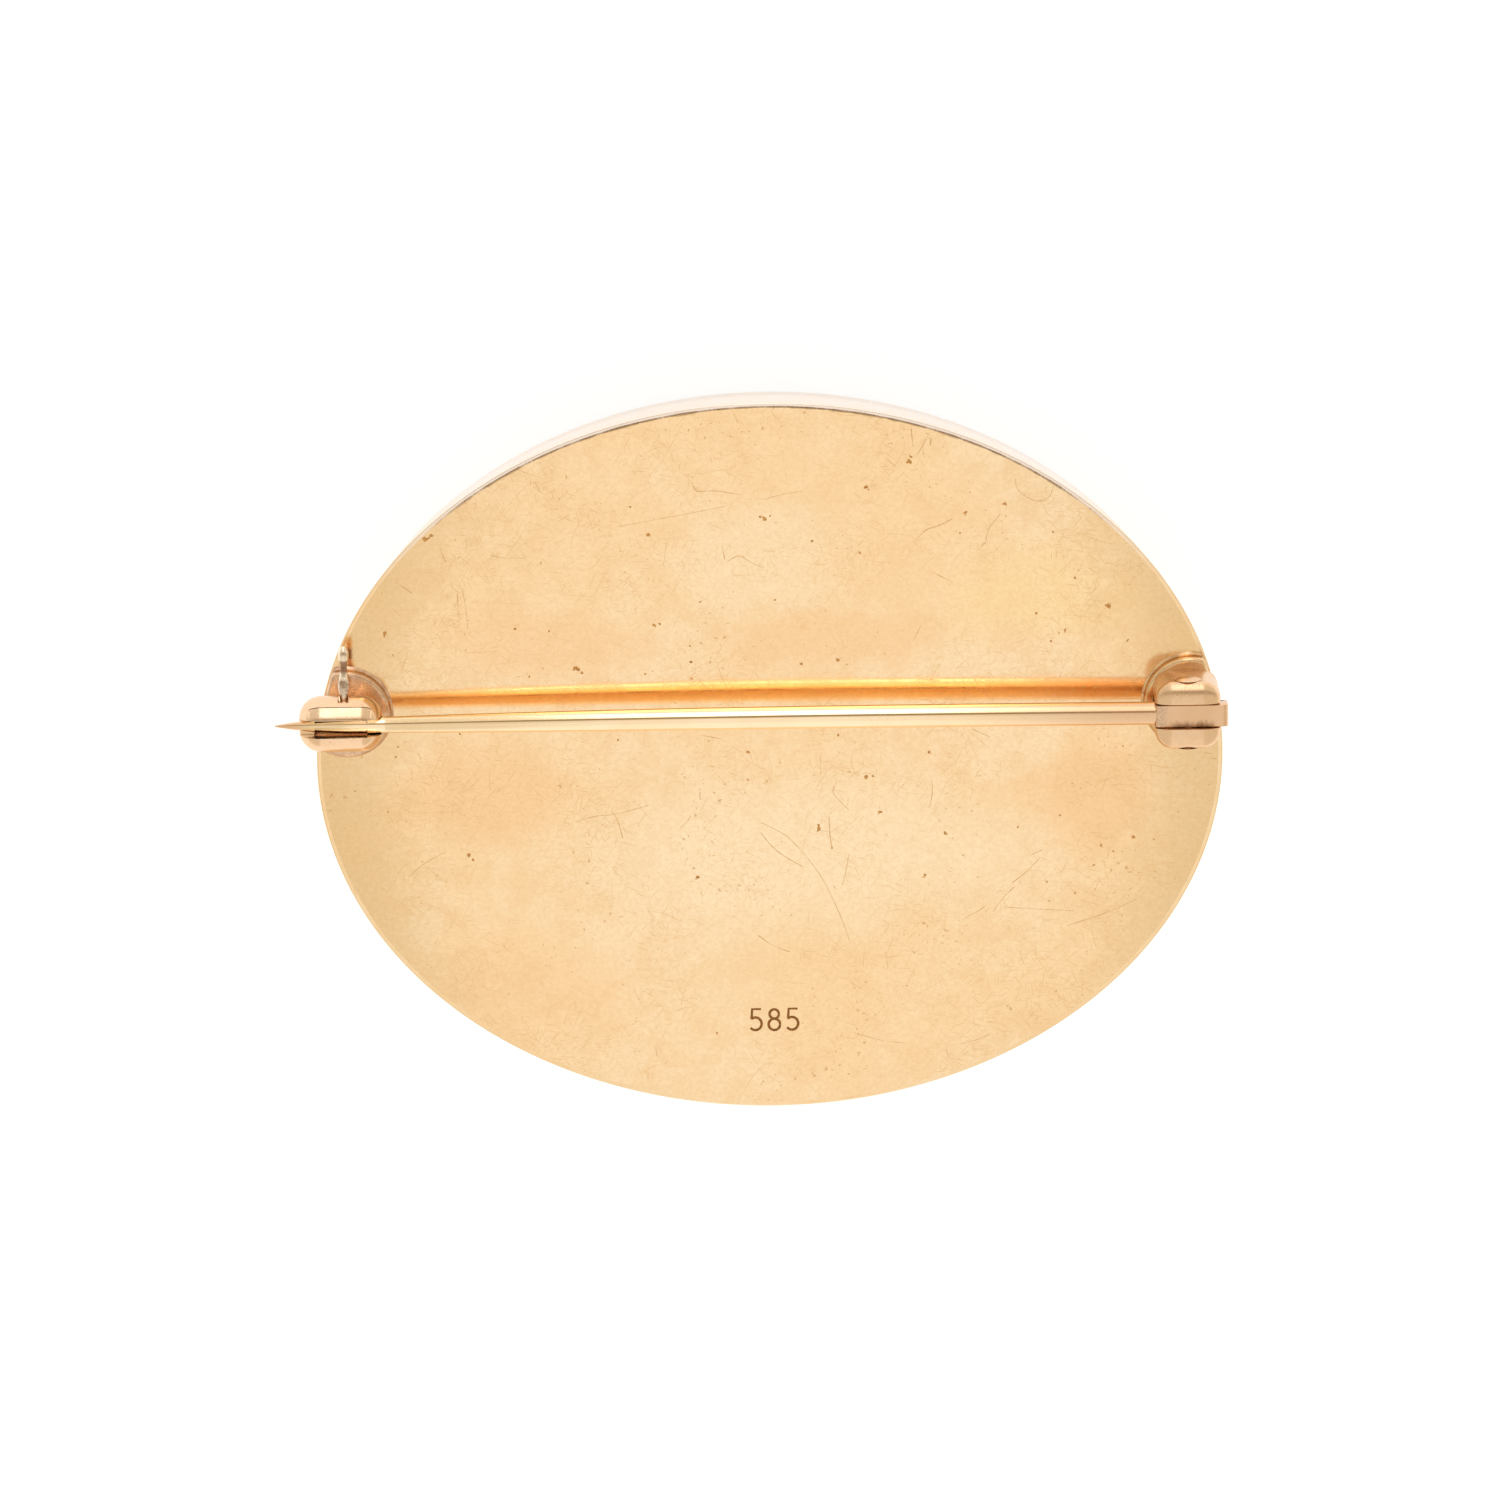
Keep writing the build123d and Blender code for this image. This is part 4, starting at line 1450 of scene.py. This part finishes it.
def strokeOnPlate(bm, points, half, height, taper=0.8):
    # a low ridge that follows flat points over the plate, with its foot inside it
    loops = []
    for i, p in enumerate(points):
        way = (points[min(i + 1, len(points) - 1)] - points[max(i - 1, 0)]).normalized()
        side = Vector((-way.y, way.x)) * half * (taper if i in (0, len(points) - 1) else 1.0)
        z = plateHeight(p.x, p.y)
        loops.append([(*(p + side), z + 0.001), (*(p + side * 0.5), z + height),
                      (*(p - side * 0.5), z + height), (*(p - side), z + 0.001), (*p, z - 0.02)])
    loftLoops(loops, bm=bm)


def makeStamp():
    v = stampValues
    bm = bmesh.new()
    for index, figure in enumerate(v["figures"]):
        left = v["x"] + (index - 1.5) * v["pitch"] + v["margin"]
        for line in figureStrokes(figure):
            points = [Vector((left + a * v["height"], v["y"] + (b - 0.5) * v["height"])) for a, b in line]
            strokeOnPlate(bm, points, v["stroke"], v["relief"])
    obj = outward(meshObject("stampedFigures", bm))
    finishPiece(obj, "stampBrown", settingPart, 30, weighted=False)


# marks that are placed by the picture: rusty spots and single scratches

markValues = {
    "seed": 7,
    "pixelSize": 0.05,  # mm that one pixel of the picture covers
    "spotHeight": 0.003,
    "spread": 0.45,  # this and the two below are shares of the spot's size
    "largeGrain": 0.42,
    "smallGrain": (0.10, 0.26),
    "ragged": (0.6, 1.25),
    "stretch": (0.55, 1.0),
    "lineHalfWidth": 0.024,
    "lineRange": (0.6, 1.1),
    "lineHeight": 0.002,
}
spotChart = [  # place in the picture and size across, in its pixels
    (426, 540, 9), (432, 536, 6), (765, 519, 6), (760, 517, 3), (770, 516, 3), (648, 535, 5), (654, 625, 5),
    (660, 624, 3), (700, 602, 3), (541, 563, 3), (515, 629, 4), (549, 631, 3), (385, 634, 6), (576, 668, 7),
    (582, 673, 4), (529, 677, 3), (645, 674, 3), (690, 646, 3), (691, 662, 4), (733, 592, 2), (630, 507, 3),
    (866, 487, 6), (909, 462, 8), (911, 457, 4), (965, 513, 6), (1005, 504, 5), (1108, 606, 7),
    (1065, 630, 5), (1059, 633, 3), (1051, 641, 3), (1128, 640, 4), (1036, 613, 4), (860, 553, 4),
    (838, 660, 5), (801, 664, 4), (775, 600, 3), (1075, 578, 4), (812, 541, 4), (960, 533, 3),
    (1053, 532, 3), (460, 734, 4), (618, 740, 3), (748, 752, 5), (748, 780, 3), (469, 855, 6),
    (473, 860, 4), (698, 877, 5), (717, 1033, 4), (866, 777, 5), (873, 776, 3), (819, 828, 7),
    (880, 812, 5), (925, 875, 5), (1094, 865, 4), (1018, 827, 4), (1101, 845, 4), (1133, 837, 5),
    (1113, 851, 3), (1060, 815, 3), (945, 833, 5), (838, 735, 4), (929, 752, 4), (1047, 882, 3),
    (832, 848, 3), (398, 747, 3), (396, 757, 3), (405, 742, 2), (1123, 746, 3), (355, 791, 3),
    (388, 812, 3), (1075, 893, 3), (393, 655, 3)]
lineChart = [  # points along each scratch, in the picture's pixels
    [(615, 527), (670, 517), (727, 506)], [(692, 482), (697, 491), (716, 491), (741, 495)],
    [(734, 414), (738, 423)], [(763, 500), (780, 495), (803, 491)],
    [(915, 541), (926, 530), (938, 526), (952, 519)], [(985, 545), (989, 529), (1001, 513)],
    [(933, 572), (944, 578), (953, 582)], [(914, 640), (921, 625)],
    [(1015, 478), (1019, 491), (1036, 501), (1049, 497), (1053, 486)], [(911, 428), (913, 447)],
    [(930, 432), (917, 456)], [(462, 588), (465, 604), (468, 630)], [(457, 593), (459, 618)],
    [(440, 548), (446, 563)], [(396, 582), (413, 594)], [(489, 555), (505, 558), (527, 558)],
    [(535, 482), (541, 494)], [(575, 822), (597, 816), (616, 814), (650, 805)],
    [(611, 811), (617, 819), (623, 839)], [(409, 877), (425, 863), (446, 852)],
    [(680, 828), (687, 822), (691, 816)], [(760, 822), (790, 839), (820, 875), (840, 915), (850, 942)],
    [(760, 832), (777, 851), (803, 867)], [(829, 816), (830, 835), (832, 849)],
    [(837, 780), (833, 792), (840, 801), (849, 810)], [(849, 853), (846, 870), (842, 886)],
    [(932, 780), (932, 795), (929, 808)], [(1040, 858), (1026, 872), (1012, 883)],
    [(1014, 887), (1002, 899), (993, 912)], [(963, 919), (978, 911), (985, 906)],
    [(1003, 907), (1036, 909), (1075, 911)], [(1066, 926), (1105, 913), (1137, 899)],
    [(946, 1049), (949, 1057), (955, 1059)], [(960, 1044), (976, 1040), (991, 1034)],
    [(885, 951), (888, 968)], [(972, 729), (990, 737)], [(1200, 752), (1214, 754)],
    [(1202, 757), (1217, 759)], [(656, 1049), (657, 1057)],
    [(727, 562), (739, 556), (752, 563), (764, 568)], [(722, 546), (725, 560)], [(1031, 855), (1042, 850)],
    [(700, 735), (722, 739)], [(758, 935), (772, 945), (790, 952)], [(853, 1032), (880, 1040), (905, 1043)]]


def onPlate(px, py):
    # the point of the plate that the camera shows at a pixel
    v = cameraValues
    right, top, back, centre = cameraFrame()
    scale = v["sensor"] / v["lens"] * v["distance"] / v["picture"]
    eye = centre + back * v["distance"]
    ray = centre + right * ((px - v["picture"] / 2) * scale) + top * ((v["picture"] / 2 - py) * scale) - eye
    z = backZ
    for step in range(4):
        p = eye + ray * ((z - eye.z) / ray.z)
        z = plateHeight(p.x, p.y)
    return Vector((p.x, p.y))


def makeSpots(chance):
    v = markValues
    bm = bmesh.new()
    for px, py, size in spotChart:
        middle = onPlate(px, py)
        for part in range(1 + size // 3):  # one large grain, and small ones about it
            spread = 0.0 if part == 0 else size * v["spread"] * v["pixelSize"]
            centre = middle + Vector((chance.uniform(-spread, spread), chance.uniform(-spread, spread)))
            grain = v["largeGrain"] if part == 0 else chance.uniform(*v["smallGrain"])
            radius = size * v["pixelSize"] * grain
            stretch, turn = chance.uniform(*v["stretch"]), chance.uniform(0, math.pi)
            outline = []
            for a in angles(11):
                r = radius * chance.uniform(*v["ragged"])
                spun = turnedPoint(r * math.cos(a), r * stretch * math.sin(a), math.degrees(turn))
                outline.append(centre + Vector(spun))
            z = plateHeight(centre.x, centre.y)
            inner = [centre + (p - centre) * 0.55 for p in outline]
            loftLoops([[(p.x, p.y, z - 0.02) for p in outline], [(p.x, p.y, z + 0.001) for p in outline],
                       [(p.x, p.y, z + v["spotHeight"]) for p in inner]], bm=bm)
    obj = outward(meshObject("rustySpots", bm))
    finishPiece(obj, "rustBrown", settingPart, 60, weighted=False)


def smoothLine(corners):
    # a smooth line through the charted points
    last = len(corners) - 1
    points = []
    for i in range(last):
        a, b, c, d = (corners[min(max(k, 0), last)] for k in (i - 1, i, i + 1, i + 2))
        for step in range(8):
            t = step / 8
            points.append((b * 2 + (c - a) * t + (a * 2 - b * 5 + c * 4 - d) * t ** 2
                           + (b * 3 - a - c * 3 + d) * t ** 3) / 2)
    return points + corners[-1:]


def makeScratches(chance):
    v = markValues
    bm = bmesh.new()
    for line in lineChart:
        points = smoothLine([onPlate(px, py) for px, py in line])
        halfWidth = v["lineHalfWidth"] * chance.uniform(*v["lineRange"])
        strokeOnPlate(bm, points, halfWidth, v["lineHeight"], 0.2)
    obj = outward(meshObject("plateScratches", bm))
    finishPiece(obj, "scoredGold", settingPart, 60, weighted=False)


# specks of dirt along the plate's seam

speckValues = {
    "count": 620,
    **seamOval,
    "centreX": plateX,
    "height": 10.145,
    "size": 0.034,
    "seed": 5,
    "material": materials["stampBrown"],
}


def seamSpecks(tree, count, halfLength, halfWidth, centreX, height, size, seed):
    ring = field(tree, "GeometryNodeCurvePrimitiveCircle", {"Resolution": 240, "Radius": 1.0})
    spread = field(tree, "GeometryNodeCurveToPoints", {"Curve": ring, "Count": count}, mode="COUNT")
    position = field(tree, "GeometryNodeInputPosition", {})
    x, y, z = splitVector(position)
    jitter = randomVector(tree, (-0.02, -0.02, -0.004), (0.02, 0.02, 0.02), seed)
    jitterX, jitterY, jitterZ = splitVector(jitter)
    place = joinVector(centreX + x * halfLength + jitterX, y * halfWidth + jitterY, height + jitterZ)
    moved = field(tree, "GeometryNodeSetPosition", {"Geometry": spread, "Position": place})
    grain = field(tree, "GeometryNodeMeshIcoSphere", {"Radius": size, "Subdivisions": 1})
    chosen = calc("GREATER_THAN", noise(position, 0.4, 2.0), 0.47) * calc("GREATER_THAN", y, 0.70)
    return field(tree, "GeometryNodeInstanceOnPoints", {
        "Points": moved, "Selection": chosen, "Instance": grain,
        "Rotation": randomVector(tree, (0.0, 0.0, 0.0), (6.28, 6.28, 6.28), seed + 9.0),
        "Scale": randomVector(tree, (0.3, 0.3, 0.3), (1.3, 1.3, 1.1), seed + 4.0)})


makeStamp()
chance = random.Random(markValues["seed"])
makeSpots(chance)
makeScratches(chance)
finishPiece(growPiece("seamSpecks", seamSpecks, speckValues), "stampBrown", settingPart, 30, weighted=False)
print("figures, marks and specks made")


# floor, light and camera

studioValues = {
    "floor": 0.52,
    "floorGlow": 0.72,
    "tent": 0.83,
    "tentTint": (1.0, 0.955, 0.83),
    "panel": 1.03,
    "panelLeft": -6.3,  # degrees to the side, where the light over the plate ends
    "panelRight": 6.8,
    "curvedRight": 4.75,  # narrower where only curved things reflect it
    "curvedLeft": -4.85,
    "stripLow": -25.0,
    "stripHigh": -4.0,
    "panelNear": -30.0,  # degrees off the vertical toward +Y
    "front": 1.16,
    "gap": 0.36,
    "gapLow": 19.0,
    "gapHigh": 35.0,
    "gapTint": (1.0, 0.80, 0.58),
    "key": 2.4,
    "keyHigh": 86.0,
}


def makeFloor():
    v = studioValues
    bm = bmesh.new()
    bmesh.ops.create_grid(bm, x_segments=2, y_segments=2, size=2.0)
    obj = meshObject("floor", bm)
    shader, vector = newMaterial("paleFloor", {
        "Roughness": 0.9, "Specular IOR Level": 0.1, "Emission Color": tone("white"),
        "Emission Strength": v["floorGlow"]})
    pale = [v["floor"]] * 3
    paler = [v["floor"] * share for share in (1.04, 1.04, 1.05)]
    feed(shader.inputs["Base Color"], layered(pale, (between(noise(vector, 0.02, 1.0), 0.3, 0.7), paler)))
    obj.data.materials.append(materials["paleFloor"])


def makeLightTent():
    # a pale tent of light, told apart by the angle up the picture and the angle to its side
    v = studioValues
    world = bpy.data.worlds.new("lightTent")
    bpy.context.scene.world = world
    world.use_nodes = True
    x, y, z = splitVector(field(world.node_tree, "ShaderNodeTexCoord", {}, "Generated"))
    toDegrees = 180 / math.pi
    side = calc("ARCSINE", x) * toDegrees
    away = calc("ARCTAN2", y, z) * toDegrees
    narrow = band(side, v["curvedLeft"], v["curvedRight"], 0.3)
    wide = band(side, v["panelLeft"], v["panelRight"], 0.35) * band(away, v["stripLow"], v["stripHigh"], 1.5)
    inPanel = larger(narrow, wide) * falling(away, 10.0, 14.0)
    near = falling(away, v["panelNear"] - 6.0, v["panelNear"] + 2.0) * narrow
    inGap = band(away, v["gapLow"], v["gapHigh"], 2.0)
    inKey = between(away, v["gapHigh"] + 1.0, v["gapHigh"] + 8.0)
    inKey = inKey * falling(away, v["keyHigh"] - 4.0, v["keyHigh"] + 4.0) * narrow
    level = (v["tent"] + inPanel * (v["panel"] - v["tent"]) + near * (v["front"] - v["panel"])
             - inGap * (v["tent"] - v["gap"]) + inKey * (v["key"] - v["tent"]))
    tint = layered(v["tentTint"], (larger(inPanel, larger(near, inKey)), "white"), (inGap, v["gapTint"]))
    background = world.node_tree.nodes["Background"]
    feed(background.inputs["Color"], scaleVector(tint, level))
    background.inputs["Strength"].default_value = 1.0
    world.cycles.sampling_method = "NONE"


def makeCamera():
    v = cameraValues
    right, top, back, centre = cameraFrame()
    data = bpy.data.cameras.new("camera")
    data.lens = v["lens"]
    data.sensor_width = v["sensor"]
    data.clip_start = 0.01
    data.clip_end = 10.0
    camera = bpy.data.objects.new("camera", data)
    bpy.context.scene.collection.objects.link(camera)
    placed = Matrix((right, top, back)).transposed().to_4x4()
    placed.translation = (centre + back * v["distance"]) * mm
    camera.matrix_world = placed
    bpy.context.scene.camera = camera


makeFloor()
makeLightTent()
makeCamera()
bpy.context.scene.view_settings.view_transform = "Standard"
print("studio made")
